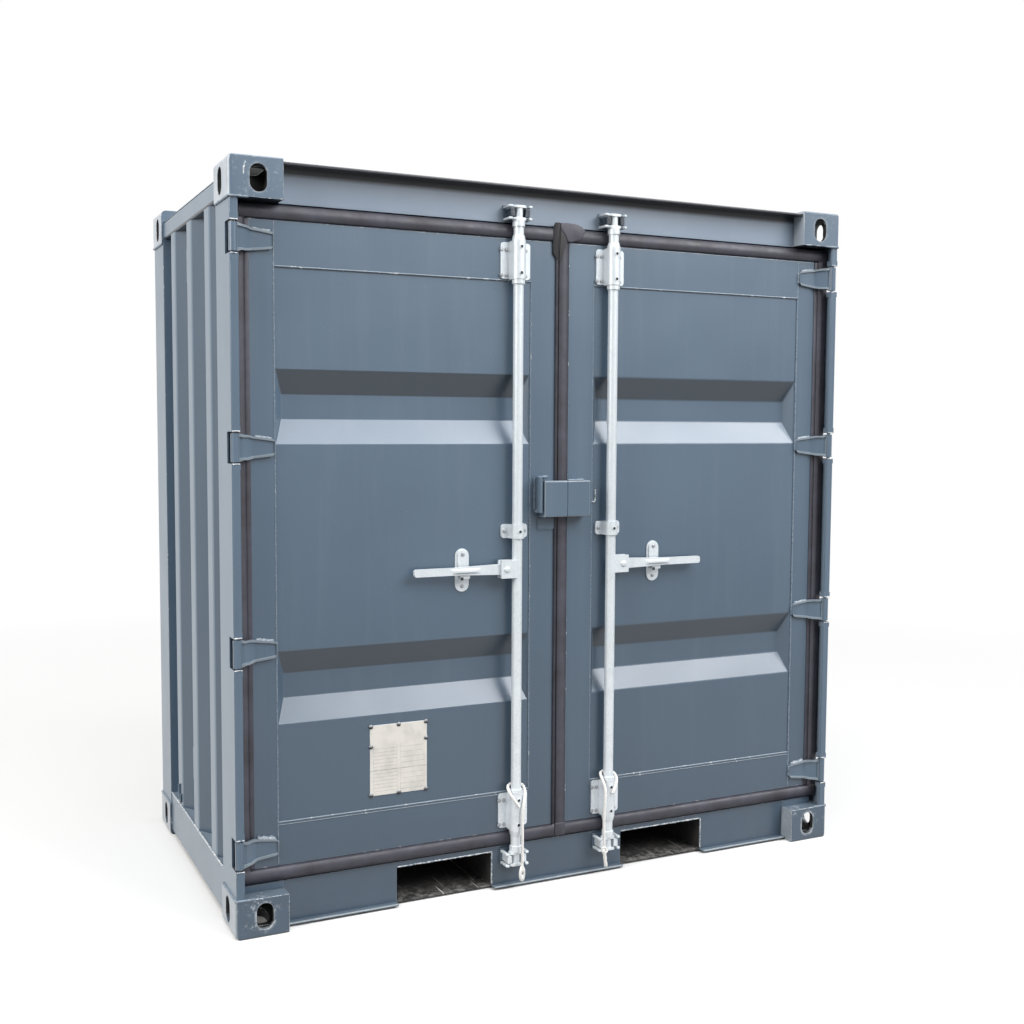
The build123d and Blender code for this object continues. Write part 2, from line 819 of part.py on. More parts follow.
# Hinges: a knuckle on the pin and a joggled blade that tapers to a rounded tip on the stile
blade_back = from_front(door_face_depth)
blade_front = blade_back - blade_thickness
blade_root = pin_y - knuckle_radius / 6
with BuildPart() as hinge:
    with BuildSketch(Plane.XY.offset(-knuckle_height / 2)):
        with BuildLine():
            Polyline(
                (pin_x, blade_root),
                (pin_x + blade_flat, blade_root),
                (pin_x + blade_flat + blade_bend, blade_front),
                (pin_x + blade_reach, blade_front),
                (pin_x + blade_reach, blade_back),
                (pin_x + blade_flat + blade_bend - blade_thickness / 4, blade_back),
                (pin_x + blade_flat - blade_thickness / 4, blade_root + blade_thickness),
                (pin_x, blade_root + blade_thickness),
                close=True,
            )
        make_face()
        with Locations((pin_x, pin_y)):
            Circle(knuckle_radius)
            Circle(pin_radius + knuckle_fit, mode=Mode.SUBTRACT)
    extrude(amount=knuckle_height)
    with BuildSketch(front_plane(0)):
        with BuildLine():
            Polyline(
                (pin_x - knuckle_radius, -knuckle_height / 2),
                (pin_x + blade_flat + blade_bend / 2, -knuckle_height / 2),
                (pin_x + blade_reach, -blade_tip_height / 2),
                (pin_x + blade_reach, blade_tip_height / 2),
                (pin_x + blade_flat + blade_bend / 2, knuckle_height / 2),
                (pin_x - knuckle_radius, knuckle_height / 2),
                close=True,
            )
        make_face()
        fillet(vertices().sort_by(Axis.X)[-2:], blade_tip_radius)
    extrude(amount=-stop_depth, mode=Mode.INTERSECT)

with BuildPart() as door_hinges:
    with Locations(*[(0, 0, z) for z in hinge_heights]):
        add(hinge.part)
save_pair(door_hinges, "door_hinges")

# Rod guides: a bearing tube on a bolted plate at both ends, and a plain strap in the middle
guide_back = from_front(door_face_depth)
guide_face = guide_back - guide_plate
panel_face = from_front(panel_depth)


def guide_block(low, height, width, back, radius):
    with BuildSketch(Plane.XY.offset(low)) as section:
        with Locations((rod_x, rod_y)):
            Circle(radius)
        with Locations((rod_x, (rod_y + back) / 2)):
            Rectangle(width, back - rod_y)
        with Locations((rod_x, rod_y)):
            Circle(rod_radius + rod_fit, mode=Mode.SUBTRACT)
    extrude(section.sketch, amount=height)


with BuildPart() as rod_guides:
    for guide_z in (door_middle - guide_offset, door_middle + guide_offset):
        guide_block(
            guide_z - guide_tube_height / 2,
            guide_tube_height,
            2 * guide_tube_radius,
            guide_face,
            guide_tube_radius,
        )
        far_side = 1 if guide_z > door_middle else -1
        taper_end = guide_z + far_side * guide_tube_height / 2
        with BuildSketch(Plane.XY.offset(taper_end)):
            with Locations((rod_x, rod_y)):
                Circle(guide_tube_radius)
        with BuildSketch(Plane.XY.offset(taper_end + far_side * guide_taper)):
            with Locations((rod_x, rod_y)):
                Circle(guide_tube_radius - guide_taper_width)
        loft()
        with Locations((rod_x, rod_y, taper_end)):
            Cylinder(rod_radius + rod_fit, 2 * guide_taper + overrun, mode=Mode.SUBTRACT)
        with BuildSketch(front_plane(door_face_depth)):
            with Locations((rod_x, guide_z)):
                RectangleRounded(guide_width, guide_height, guide_corner)
        extrude(amount=guide_plate)
    strap_z = door_middle + strap_rise
    guide_block(
        strap_z - strap_height / 2,
        strap_height,
        2 * guide_tube_radius,
        guide_face,
        guide_tube_radius,
    )
    with BuildSketch(front_plane(panel_depth)):
        with Locations((rod_x, strap_z)):
            RectangleRounded(strap_width, strap_height, guide_corner)
    extrude(amount=guide_plate + panel_recess)
save_pair(rod_guides, "rod_guides")

# Lock rods: a bar with collars at the guides, a flanged cam at each end and the handle's fork
collar_offset = guide_tube_height / 2 + collar_height / 2 + rod_fit
with BuildPart() as lock_rod:
    with BuildSketch(Plane.XY.offset(cam_low + cam_half)):
        with Locations((rod_x, rod_y)):
            Circle(rod_radius)
    extrude(amount=cam_top - cam_low - 2 * cam_half)
    for guide_z, side in ((door_middle - guide_offset, 1), (door_middle + guide_offset, -1)):
        with Locations((rod_x, rod_y, guide_z + side * collar_offset)):
            Cylinder(collar_radius, collar_height)
    for cam_z, side in ((cam_low, 1), (cam_top, -1)):
        with Locations((rod_x, rod_y, cam_z)):
            Cylinder(cam_neck_radius, 2 * cam_half)
        with Locations((rod_x, rod_y, cam_z + side * (cam_half + ring_height / 2))):
            Cylinder(ring_radius, ring_height)
        for low in (cam_z - cam_half, cam_z + cam_half - cam_flange):
            with BuildSketch(Plane.XY.offset(low)):
                with Locations((rod_x, rod_y)):
                    SlotOverall(cam_length, cam_width)
            extrude(amount=cam_flange)
    with BuildSketch(front_plane(rod_depth + hub_depth / 2)):
        with Locations((rod_x - hub_reach / 2, handle_height)):
            Rectangle(hub_reach, hub_height)
    extrude(amount=hub_depth)
    with BuildSketch(front_plane(rod_depth + hub_slot / 2)):
        with Locations((rod_x - hub_root - hub_reach / 2, handle_height)):
            Rectangle(hub_reach, hub_height + 2 * overrun)
    extrude(amount=hub_slot, mode=Mode.SUBTRACT)
    with BuildSketch(front_plane(rod_depth + hub_depth / 2)):
        with Locations((rod_x - hub_pin_reach, handle_height)):
            Circle(hub_pin_radius)
    extrude(amount=hub_depth)
    with Locations((rod_x, rod_y, (cam_low + cam_top) / 2)):
        Cylinder(rod_radius - rod_wall, cam_top - cam_low - 2 * cam_half, mode=Mode.SUBTRACT)
save_pair(lock_rod, "lock_rod")

# Handles: flat bars that turn up on the fork's rivet, tapered towards the grip
grip_x = rod_x - hub_pin_reach - (handle_length - hub_pin_reach) * handle_grip_share
handle_root = rod_x - hub_pin_reach + handle_root_round
handle_tip = rod_x - handle_length
with BuildPart() as handle:
    with BuildSketch(front_plane(rod_depth + handle_thickness / 2)):
        with BuildLine():
            Polyline(
                (handle_root, handle_height - handle_root_round),
                (handle_root, handle_height + handle_root_round),
                (rod_x - hub_reach, handle_height + handle_root_height / 2),
                (grip_x, handle_height + handle_tip_height / 2),
                (handle_tip, handle_height + handle_tip_height / 2),
                (handle_tip, handle_height - handle_tip_height / 2),
                (grip_x, handle_height - handle_tip_height / 2),
                (rod_x - hub_reach, handle_height - handle_root_height / 2),
                close=True,
            )
        make_face()
        fillet(vertices().sort_by(Axis.X)[:2], handle_tip_round)
        with Locations((rod_x - hub_pin_reach, handle_height)):
            Circle(hub_pin_radius + knuckle_fit, mode=Mode.SUBTRACT)
    extrude(amount=handle_thickness)
    catch_x = rod_x - catch_reach
    ridge_tip_share = 0.4
    with BuildSketch(front_plane(rod_depth - handle_thickness / 2)):
        with Locations((catch_x, handle_height)):
            SlotOverall(ridge_length, ridge_height)
    with BuildSketch(front_plane(rod_depth - handle_thickness / 2 - ridge_rise)):
        with Locations((catch_x, handle_height)):
            SlotOverall(ridge_length * ridge_tip_share, ridge_height * ridge_tip_share)
    loft()
save_pair(handle, "handle")

# Handle catches: an oval plate with a boss above the handle and a seat under it
catch_share = (catch_x - rod_x + hub_reach) / (grip_x - rod_x + hub_reach)
handle_at_catch = handle_root_height + (handle_tip_height - handle_root_height) * catch_share
seat_top = handle_height - handle_at_catch / 2 - catch_gap
with BuildPart() as handle_catch:
    with BuildSketch(front_plane(panel_depth)):
        with Locations((catch_x, handle_height)):
            SlotOverall(catch_height, catch_width, rotation=90)
    extrude(amount=catch_plate)
    with BuildSketch(front_plane(panel_depth)):
        with Locations((catch_x, handle_height + catch_height / 2 - catch_boss_gap - catch_boss_height / 2)):
            SlotOverall(catch_boss_height, catch_boss_width, rotation=90)
    extrude(amount=catch_boss_depth)
    with BuildSketch(front_plane(panel_depth)):
        with Locations((catch_x, seat_top - catch_seat_height / 2)):
            RectangleRounded(catch_boss_width, catch_seat_height, catch_seat_height / 4)
    extrude(amount=catch_seat_depth)
save_pair(handle_catch, "handle_catch")

# Lock box: a cover half on each door, with a guard wall and a small hood on the left one
box_z = door_middle + box_rise
box_back = door_face_depth
box_left = -box_half_width


def cover_half(edge, seam):
    with BuildSketch(front_plane(box_front)) as face:
        with Locations(((edge + seam) / 2, box_z)):
            Rectangle(abs(seam - edge), box_height)
    extrude(face.sketch, amount=-(box_back - box_front))
    front_edges = faces().sort_by(Axis.Y)[0].edges()
    outer_end = front_edges.filter_by(Axis.Z).sort_by(Axis.X)[0 if edge < seam else -1]
    long_edges = front_edges.filter_by(Axis.X)
    fillet(list(long_edges) + [outer_end], box_bevel)
    with BuildSketch(Plane.XY.offset(box_z - box_height / 2)) as hollow:
        inner_edge = edge + box_wall if edge < seam else edge - box_wall
        with Locations(((inner_edge + seam) / 2, from_front((box_front + box_wall + box_back) / 2))):
            Rectangle(abs(seam - inner_edge), box_back - box_front - box_wall)
    extrude(hollow.sketch, amount=box_height - box_wall, mode=Mode.SUBTRACT)
    with BuildSketch(front_plane(gasket_front - gasket_clearance)) as relief:
        with Locations((0, box_z)):
            Rectangle(door_gap + 4 * gasket_clearance, box_height + 2 * overrun)
    extrude(relief.sketch, amount=-door_thickness, mode=Mode.SUBTRACT)


with BuildPart() as left_lock_box:
    cover_half(box_left, -box_seam / 2)
    guard_right = box_left - guard_gap
    guard_left = guard_right - guard_wall
    guard_middle = box_z + guard_rise
    with BuildSketch(front_plane(box_front)):
        with Locations(((guard_left + guard_right) / 2, guard_middle)):
            Rectangle(guard_wall, guard_height)
    extrude(amount=-(box_back - box_front))
    with BuildSketch(front_plane(box_back - guard_hood_depth)):
        with Locations((guard_left + guard_hood_width / 2, guard_middle + guard_height / 2 - box_wall / 2)):
            Rectangle(guard_hood_width, box_wall)
    extrude(amount=-guard_hood_depth)
    tab_top = box_z - box_height / 2 - tab_drop
    with BuildSketch(front_plane(box_back)):
        with Locations((-tab_from_gap - tab_width / 2, tab_top - tab_height / 2)):
            Rectangle(tab_width, tab_height)
    extrude(amount=box_wall)
    base_width = guard_wall + guard_gap + box_wall
    with BuildSketch(front_plane(box_back - box_wall)):
        with Locations((guard_left + base_width / 2, box_z)):
            Rectangle(base_width, box_height)
    extrude(amount=-box_wall)
save(left_lock_box, "left_lock_box")

with BuildPart() as right_lock_box:
    cover_half(box_half_width, box_seam / 2)
save(right_lock_box, "right_lock_box")

# Data plate on the flat below the lower trough
with BuildPart() as data_plate:
    plate_x = panel_left + plate_from_stile + plate_width / 2
    plate_z = door_low + door_rail_height + plate_from_rail + plate_height / 2
    with BuildSketch(front_plane(panel_depth)):
        with Locations((plate_x, plate_z)):
            Rectangle(plate_width, plate_height)
    extrude(amount=plate_thickness)
save(data_plate, "data_plate")


# Tie ropes: a turn round the rod above the lower guide, then a free end that hangs past it
def rope(route, name):
    radii = []
    for before, corner, after in zip(route, route[1:], route[2:]):
        first = Vector(*corner) - Vector(*before)
        second = Vector(*after) - Vector(*corner)
        turn = first.get_angle(second)
        radii.append(rope_bend_share * min(first.length, second.length) / tan(radians(turn / 2)))
    with BuildPart() as tie_rope:
        with BuildLine() as path:
            FilletPolyline(*route, radius=radii)
        with BuildSketch(Plane(path.wire() @ 0, z_dir=path.wire() % 0)):
            Circle(rope_radius)
        sweep()
    length = path.wire().length
    print(name, "length", round(length, 1), "radii", [round(radius, 1) for radius in radii])
    save(tie_rope, name)


hitch_z = door_middle - guide_offset + guide_tube_height / 2 + collar_height + rope_hitch_rise
left_rope_route = [
    (rod_x - 1, rod_y - 28.5, hitch_z - 62),
    (rod_x - 14, rod_y - 25.5, hitch_z - 42),
    (rod_x - 28, rod_y - 13, hitch_z - 17),
    (rod_x - 27, rod_y + 9, hitch_z + 1),
    (rod_x - 10, rod_y + 22, hitch_z + 4),
    (rod_x + 13, rod_y + 21, hitch_z + 5),
    (rod_x + 28, rod_y + 6, hitch_z + 2),
    (rod_x + 28.5, rod_y - 12, hitch_z - 15),
    (rod_x + 19, rod_y - 26, hitch_z - 42),
    (rod_x + 11, rod_y - 30.5, hitch_z - 70),
    (rod_x + 9, rod_y - 31, hitch_z - 122),
    (rod_x + 10, rod_y - 31.5, hitch_z - 192),
    (rod_x + 8, rod_y - 33, hitch_z - 262),
]
rope(left_rope_route, "left_tie_rope")
right_rope_route = [
    (-rod_x + 1, rod_y - 28.5, hitch_z - 60),
    (-rod_x + 14, rod_y - 25.5, hitch_z - 41),
    (-rod_x + 28, rod_y - 13, hitch_z - 16),
    (-rod_x + 27, rod_y + 9, hitch_z + 1),
    (-rod_x + 10, rod_y + 22, hitch_z + 4),
    (-rod_x - 13, rod_y + 21, hitch_z + 5),
    (-rod_x - 28, rod_y + 6, hitch_z + 2),
    (-rod_x - 28.5, rod_y - 12, hitch_z - 15),
    (-rod_x - 20, rod_y - 26, hitch_z - 40),
    (-rod_x - 14, rod_y - 30, hitch_z - 66),
    (-rod_x - 15, rod_y - 30.5, hitch_z - 120),
    (-rod_x - 17, rod_y - 31, hitch_z - 190),
    (-rod_x - 14, rod_y - 31.5, hitch_z - 245),
]
rope(right_rope_route, "right_tie_rope")
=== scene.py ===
import json
import math

import bmesh
import bpy
from mathutils import Matrix, Vector
from mathutils.bvhtree import BVHTree


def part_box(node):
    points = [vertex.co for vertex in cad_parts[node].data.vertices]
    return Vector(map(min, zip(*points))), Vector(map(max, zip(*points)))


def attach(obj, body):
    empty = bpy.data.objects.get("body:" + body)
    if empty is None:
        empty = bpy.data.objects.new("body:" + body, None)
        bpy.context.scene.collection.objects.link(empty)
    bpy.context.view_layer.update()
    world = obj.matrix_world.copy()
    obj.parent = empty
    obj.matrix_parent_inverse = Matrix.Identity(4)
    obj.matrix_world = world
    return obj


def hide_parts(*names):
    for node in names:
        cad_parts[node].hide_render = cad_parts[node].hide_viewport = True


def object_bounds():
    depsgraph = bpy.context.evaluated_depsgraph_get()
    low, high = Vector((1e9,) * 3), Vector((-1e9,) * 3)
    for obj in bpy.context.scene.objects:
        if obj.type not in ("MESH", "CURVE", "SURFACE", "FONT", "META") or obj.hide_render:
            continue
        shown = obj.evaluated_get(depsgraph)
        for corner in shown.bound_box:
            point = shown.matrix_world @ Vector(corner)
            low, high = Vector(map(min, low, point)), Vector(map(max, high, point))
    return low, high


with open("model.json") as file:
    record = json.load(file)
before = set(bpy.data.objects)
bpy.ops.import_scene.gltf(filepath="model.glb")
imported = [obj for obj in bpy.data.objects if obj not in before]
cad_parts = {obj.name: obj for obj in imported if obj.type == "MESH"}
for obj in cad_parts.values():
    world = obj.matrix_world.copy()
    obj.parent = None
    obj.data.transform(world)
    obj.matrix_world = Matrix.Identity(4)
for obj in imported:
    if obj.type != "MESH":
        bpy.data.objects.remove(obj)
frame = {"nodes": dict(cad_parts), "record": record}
cadLow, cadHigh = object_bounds()
nodes = frame["nodes"]
bodies = frame["record"]["behaviour"]["bodies"]
bodyOf = {node: body for body, names in bodies.items() for node in names}
print("frame loaded:", len(nodes), "nodes")

# camera at the photograph's angle, found from the container's own corners
photoCamera = {
    "lens": 42.97,
    "sensor": 36.0,
    "place": (-1.8976, -4.1052, 1.5177),
    "yaw": 0.4509,
    "pitch": -0.0705,
    "roll": 0.005,
}


def setCamera():
    bpy.ops.object.camera_add()
    camera = bpy.context.object
    camera.name = "photoCamera"
    camera.data.lens = photoCamera["lens"]
    camera.data.sensor_width = photoCamera["sensor"]
    turn = Matrix.Rotation(-photoCamera["yaw"], 4, "Z")
    turn = turn @ Matrix.Rotation(math.pi / 2 + photoCamera["pitch"], 4, "X")
    turn = turn @ Matrix.Rotation(photoCamera["roll"], 4, "Z")
    camera.matrix_world = Matrix.Translation(photoCamera["place"]) @ turn
    bpy.context.scene.camera = camera


setCamera()
bpy.context.scene.view_settings.view_transform = "Standard"
print("camera set")


# selection and small mesh helpers
def pickOnly(piece):
    bpy.ops.object.select_all(action="DESELECT")
    piece.select_set(True)
    bpy.context.view_layer.objects.active = piece


def applyPlace(piece):
    pickOnly(piece)
    bpy.ops.object.transform_apply(location=True, rotation=True, scale=True)


def applyModifiers(piece):
    pickOnly(piece)
    for modifier in list(piece.modifiers):
        bpy.ops.object.modifier_apply(modifier=modifier.name)


def joinPieces(pieces, name):
    bpy.ops.object.select_all(action="DESELECT")
    for piece in pieces:
        piece.select_set(True)
    bpy.context.view_layer.objects.active = pieces[0]
    if len(pieces) > 1:
        bpy.ops.object.join()
    joined = bpy.context.view_layer.objects.active
    joined.name = name
    return joined


def linkMesh(name, mesh):
    piece = bpy.data.objects.new(name, mesh)
    bpy.context.scene.collection.objects.link(piece)
    return piece


def copyTo(master, move, name):
    twin = linkMesh(name, master.data.copy())
    twin.data.transform(move)
    return twin


def pickFaces(piece, test):
    bpy.ops.mesh.select_mode(type="FACE")
    bpy.ops.mesh.select_all(action="DESELECT")
    draft = bmesh.from_edit_mesh(piece.data)
    for face in draft.faces:
        face.select_set(bool(test(face.calc_center_median(), face.normal)))
    bmesh.update_edit_mesh(piece.data)


def pickPoints(piece, test):
    bpy.ops.mesh.select_mode(type="VERT")
    bpy.ops.mesh.select_all(action="DESELECT")
    draft = bmesh.from_edit_mesh(piece.data)
    for point in draft.verts:
        point.select_set(bool(test(point.co)))
    bmesh.update_edit_mesh(piece.data)


def paintFaces(piece, index, test):
    for face in bmesh.from_edit_mesh(piece.data).faces:
        if test(face):
            face.material_index = index
    bmesh.update_edit_mesh(piece.data)


def setFinish(piece, *finishes):
    piece.data.materials.clear()
    for finish in finishes:
        piece.data.materials.append(finish)


# material helpers: each works in the node tree of the sockets that it is given
def startFinish(name):
    finish = bpy.data.materials.new(name)
    finish.use_nodes = True
    tree = finish.node_tree
    shader = next(node for node in tree.nodes if node.type == "BSDF_PRINCIPLED")
    return finish, shader, tree.nodes.new("ShaderNodeTexCoord").outputs["Object"]


def plug(socket, value):
    if isinstance(value, bpy.types.NodeSocket):
        socket.id_data.links.new(value, socket)
    else:
        socket.default_value = (*value, 1.0) if isinstance(value, tuple) else value


def newNode(kind, *values):
    tree = next(value.id_data for value in values if isinstance(value, bpy.types.NodeSocket))
    return tree.nodes.new(kind)


def stretched(coords, scale, turn=(0, 0, 0)):
    mapping = newNode("ShaderNodeMapping", coords)
    mapping.inputs["Scale"].default_value = scale
    mapping.inputs["Rotation"].default_value = turn
    plug(mapping.inputs["Vector"], coords)
    return mapping.outputs["Vector"]


def noise(coords, scale, detail=3.0, rough=0.5):
    texture = newNode("ShaderNodeTexNoise", coords)
    for name, value in (("Scale", scale), ("Detail", detail), ("Roughness", rough), ("Vector", coords)):
        plug(texture.inputs[name], value)
    return texture.outputs[0]


def remap(value, low, high, start=0.0, end=1.0):
    node = newNode("ShaderNodeMapRange", value)
    limits = (("From Min", low), ("From Max", high), ("To Min", start), ("To Max", end), ("Value", value))
    for name, number in limits:
        plug(node.inputs[name], number)
    return node.outputs["Result"]


def mask(coords, scale, detail, rough, low, high, start=0.0, end=1.0):  # noise cut to a range
    return remap(noise(coords, scale, detail, rough), low, high, start, end)


def calc(operation, first, second=0.0):
    node = newNode("ShaderNodeMath", first, second)
    node.operation = operation
    plug(node.inputs[0], first)
    plug(node.inputs[1], second)
    return node.outputs[0]


def product(first, second):
    return calc("MULTIPLY", first, second)


def away(value, place):  # distance on either side of a place
    return calc("ABSOLUTE", calc("SUBTRACT", value, place))


def mixColour(factor, first, second):
    node = newNode("ShaderNodeMix", factor, first, second)
    node.data_type = "RGBA"
    for index, value in ((0, factor), (6, first), (7, second)):
        plug(node.inputs[index], value)
    return node.outputs[2]


def axisValue(coords, axis):
    node = newNode("ShaderNodeSeparateXYZ", coords)
    plug(node.inputs[0], coords)
    return node.outputs[axis]


def normalAxis(coords, axis):
    return axisValue(newNode("ShaderNodeNewGeometry", coords).outputs["Normal"], axis)


def coat(shader, coords, colour, rough, bumps=(), layers=(), metallic=0.0):
    plug(shader.inputs["Base Color"], colour)
    plug(shader.inputs["Roughness"], mask(coords, *rough) if isinstance(rough, tuple) else rough)
    plug(shader.inputs["Metallic"], metallic)
    grain = [(noise(coords, scale, detail), strength, reach) for scale, detail, strength, reach in bumps]
    before = None
    for height, strength, reach in (*layers, *grain):
        bump = newNode("ShaderNodeBump", coords)
        for name, value in (("Strength", strength), ("Distance", reach), ("Height", height)):
            plug(bump.inputs[name], value)
        if before:
            plug(bump.inputs["Normal"], before)
        before = bump.outputs["Normal"]
    if before:
        plug(shader.inputs["Normal"], before)


# slate paint over steel, with drifts of tone, rain streaks, dust and small chips, and painted shade and
# highlights set by the way each face turns and by height
# a mask is scale, detail and roughness of its noise, then the range that is cut and the range it becomes
slatePaint = {
    "base": (0.080, 0.124, 0.176), "deep": (0.069, 0.108, 0.155), "pale": (0.093, 0.142, 0.199),
    "dustAndHighlight": (0.24, 0.28, 0.31), "chip": (0.55, 0.57, 0.58), "dirt": (0.060, 0.058, 0.055),
    "under": (0.012, 0.018, 0.026), "foot": (0.038, 0.061, 0.090), "paintedLipShadow": (0.010, 0.011, 0.015),
    "paleWearAndHighlight": (0.56, 0.60, 0.64), "paleWashAndLight": (0.38, 0.43, 0.48), "sheen": (0.27, 0.33, 0.42),
    "headerPaintedLight": (0.265, 0.325, 0.410),
    "drift": (1.7, 4.0, 0.5, 0.3, 0.7), "evened": 0.45,
    "streakRun": (14, 14, 0.9), "streaks": (1.0, 5.0, 0.6, 0.52, 0.78, 0.0, 0.12),
    "specks": (210.0, 2.0, 0.5, 0.70, 0.76, 0.0, 0.35),
    "facing": (
        ("under", (-0.15, -0.50, 0.0, 0.92)),
        ("sheen", (0.22, 0.45, 0.0, 0.24)),
        ("dustAndHighlight", (0.5, 0.95, 0.0, 0.35)),
    ),
    "splashRise": (0.0, 0.32, 1.0, 0.0), "splash": (22.0, 6.0, 0.65, 0.45, 0.75),
    "flakes": (46.0, 5.0, 0.7), "flakeEdge": 0.04,
    "shadeRise": (0.25, 1.35), "lipShadowRise": (2.237, 2.250), "lipShadowFacing": (0.3, 0.8, 1.0, 0.0),
    "ribSlopes": ((0.78, 0.84), (0.91, 0.94, 1.0, 0.0)), "ribShade": 0.40,
    "flatSide": (0.93, 0.98), "washRise": (0.4, 1.9), "washTop": 0.5,
    "rubbedSide": (0.55, 0.9), "rubbed": (9.0, 5.0, 0.5, 0.25, 0.6, 0.55, 1.0),
    "rough": (5.0, 2.0, 0.5, 0.1, 0.9, 0.26, 0.36), "gloss": 0.62,
    "bumps": ((2.6, 2.0, 0.25, 0.012), (240.0, 2.0, 0.10, 0.0006)),
}
handHole = {
    "x": 1.011, "rise": 0.062, "half": 0.0145, "radius": 0.0255, "ring": 0.009, "middle": 1.14,
    "low": (0.15, 0.50, 1.0, 0.30), "rubbed": (55.0, 6.0, 0.7, 0.42, 0.58),
    "patches": (75.0, 8.0, 0.75, 0.54, 0.62, 0.0, 0.75), "spread": (16.0, 3.0, 0.5, 0.47, 0.60),
}


def holeWear(coords, height):  # rubbed ring round the hand hole of a casting, and patches on the lower ones
    across = calc("SUBTRACT", calc("ABSOLUTE", axisValue(coords, 0)), handHole["x"])
    rise = away(calc("PINGPONG", height, handHole["middle"]), handHole["rise"])
    rise = calc("MAXIMUM", calc("SUBTRACT", rise, handHole["half"]), 0.0)
    reach = calc("POWER", calc("ADD", calc("POWER", across, 2.0), calc("POWER", rise, 2.0)), 0.5)
    ring = remap(reach, handHole["radius"], handHole["radius"] + handHole["ring"], 1.0, 0.0)
    ring = product(ring, mask(coords, *handHole["rubbed"]))
    patches = product(mask(coords, *handHole["patches"]), mask(coords, *handHole["spread"]))
    return product(calc("MAXIMUM", ring, patches), remap(height, *handHole["low"]))


def paintFinish(
    name, chips=0.66, lighten=0.0, dirt=0.35, sideRubAndHighlight=0.0, shade=0.0, lipShadowStrength=0.0, worn=0.0, paleWashAndLight=0.0,
    tone="dustAndHighlight",
):
    finish, shader, coords = startFinish(name)
    facing, height = normalAxis(coords, 2), axisValue(coords, 2)
    colour = mixColour(mask(coords, *slatePaint["drift"]), slatePaint["deep"], slatePaint["pale"])
    colour = mixColour(slatePaint["evened"], colour, slatePaint["base"])
    streaks = mask(stretched(coords, slatePaint["streakRun"]), *slatePaint["streaks"])
    colour = mixColour(streaks, colour, slatePaint["dustAndHighlight"])
    colour = mixColour(mask(coords, *slatePaint["specks"]), colour, slatePaint["dustAndHighlight"])
    for tint, limits in slatePaint["facing"]:  # painted shade on undersides, painted highlight on up-slopes, dust with a painted highlight on upper faces
        colour = mixColour(remap(facing, *limits), colour, slatePaint[tint])
    splash = product(remap(height, *slatePaint["splashRise"]), mask(coords, *slatePaint["splash"]))
    colour = mixColour(product(splash, dirt), colour, slatePaint["dirt"])
    flakes = mask(coords, *slatePaint["flakes"], chips, chips + slatePaint["flakeEdge"])
    colour = mixColour(flakes, colour, slatePaint["chip"])
    # paler all over: wear on casting edges, painted highlight on other edges, rims, chamfers and the toe,
    # painted light on the header
    if lighten:
        colour = mixColour(lighten, colour, slatePaint[tone])
    if shade:  # painted shade, darker towards the foot
        colour = mixColour(remap(height, *slatePaint["shadeRise"], shade, 0.0), colour, slatePaint["foot"])
    if lipShadowStrength:  # painted shadow under the top lip, and none on its upper face
        paintedLipShadow = remap(height, *slatePaint["lipShadowRise"], 0.0, lipShadowStrength)
        paintedLipShadow = product(paintedLipShadow, remap(facing, *slatePaint["lipShadowFacing"]))
        colour = mixColour(paintedLipShadow, colour, slatePaint["paintedLipShadow"])
    sideways = calc("ABSOLUTE", normalAxis(coords, 0))
    if paleWashAndLight:  # flat sides painted paler, most towards the foot, a wash with painted light, and the slopes of the ribs painted in shade
        slope = product(*(remap(sideways, *limits) for limits in slatePaint["ribSlopes"]))
        colour = mixColour(product(slope, slatePaint["ribShade"]), colour, slatePaint["under"])
        wash = remap(height, *slatePaint["washRise"], paleWashAndLight, paleWashAndLight * slatePaint["washTop"])
        wash = product(remap(sideways, *slatePaint["flatSide"]), wash)
        colour = mixColour(wash, colour, slatePaint["paleWashAndLight"])
    if worn:
        colour = mixColour(product(holeWear(coords, height), worn), colour, slatePaint["paleWearAndHighlight"])
    if sideRubAndHighlight:  # sides painted pale: a painted highlight, broken by rubbed patches
        rubbed = product(remap(sideways, *slatePaint["rubbedSide"]), mask(coords, *slatePaint["rubbed"]))
        colour = mixColour(product(rubbed, sideRubAndHighlight), colour, slatePaint["paleWearAndHighlight"])
    coat(shader, coords, colour, slatePaint["rough"], slatePaint["bumps"])
    shader.inputs["Specular IOR Level"].default_value = slatePaint["gloss"]
    return finish


# walls, posts and rails: rib slopes in painted shade, flat sides paler with a wash and painted light
bodyPaint = paintFinish("slatePaint", chips=0.80, paleWashAndLight=0.25)
# bevelled edges: worn paint with a painted highlight
edgeWearAndHighlight = paintFinish("slatePaintEdgeWearAndHighlight", chips=0.60, lighten=0.22)
# castings: painted highlight on the sides with rubbed patches, painted shade towards the foot, real wear
# round the hand holes
castingPaint = paintFinish(
    "slatePaintCasting", chips=0.70, lighten=0.03, dirt=0.4, sideRubAndHighlight=0.6, shade=0.50, worn=0.9,
)
# casting edges: worn pale, with the painted highlight on the sides
castingEdge = paintFinish("slatePaintCastingEdge", chips=0.50, lighten=0.46, dirt=0.2, sideRubAndHighlight=0.5, worn=0.9)
# header: lightened as painted light, with a painted shadow band under the lip
headerPaint = paintFinish("slatePaintHeader", chips=0.80, lighten=0.66, lipShadowStrength=0.96, tone="headerPaintedLight")
# hinge rims and edges: painted highlight
hingeEdgeHighlight = paintFinish("slatePaintHingeEdgeHighlight", chips=0.66, lighten=0.66)
# lock box chamfers and edges: painted highlight
boxEdgeHighlight = paintFinish("slatePaintBoxEdgeHighlight", chips=0.70, lighten=0.62)
# sill toe: painted highlight
toeHighlight = paintFinish("slatePaintToeHighlight", chips=0.60, lighten=0.70, dirt=0.2)
# door panels, frames and sill: painted shade towards the foot
doorPaint = paintFinish("slatePaintDoor", chips=0.80, shade=0.62)

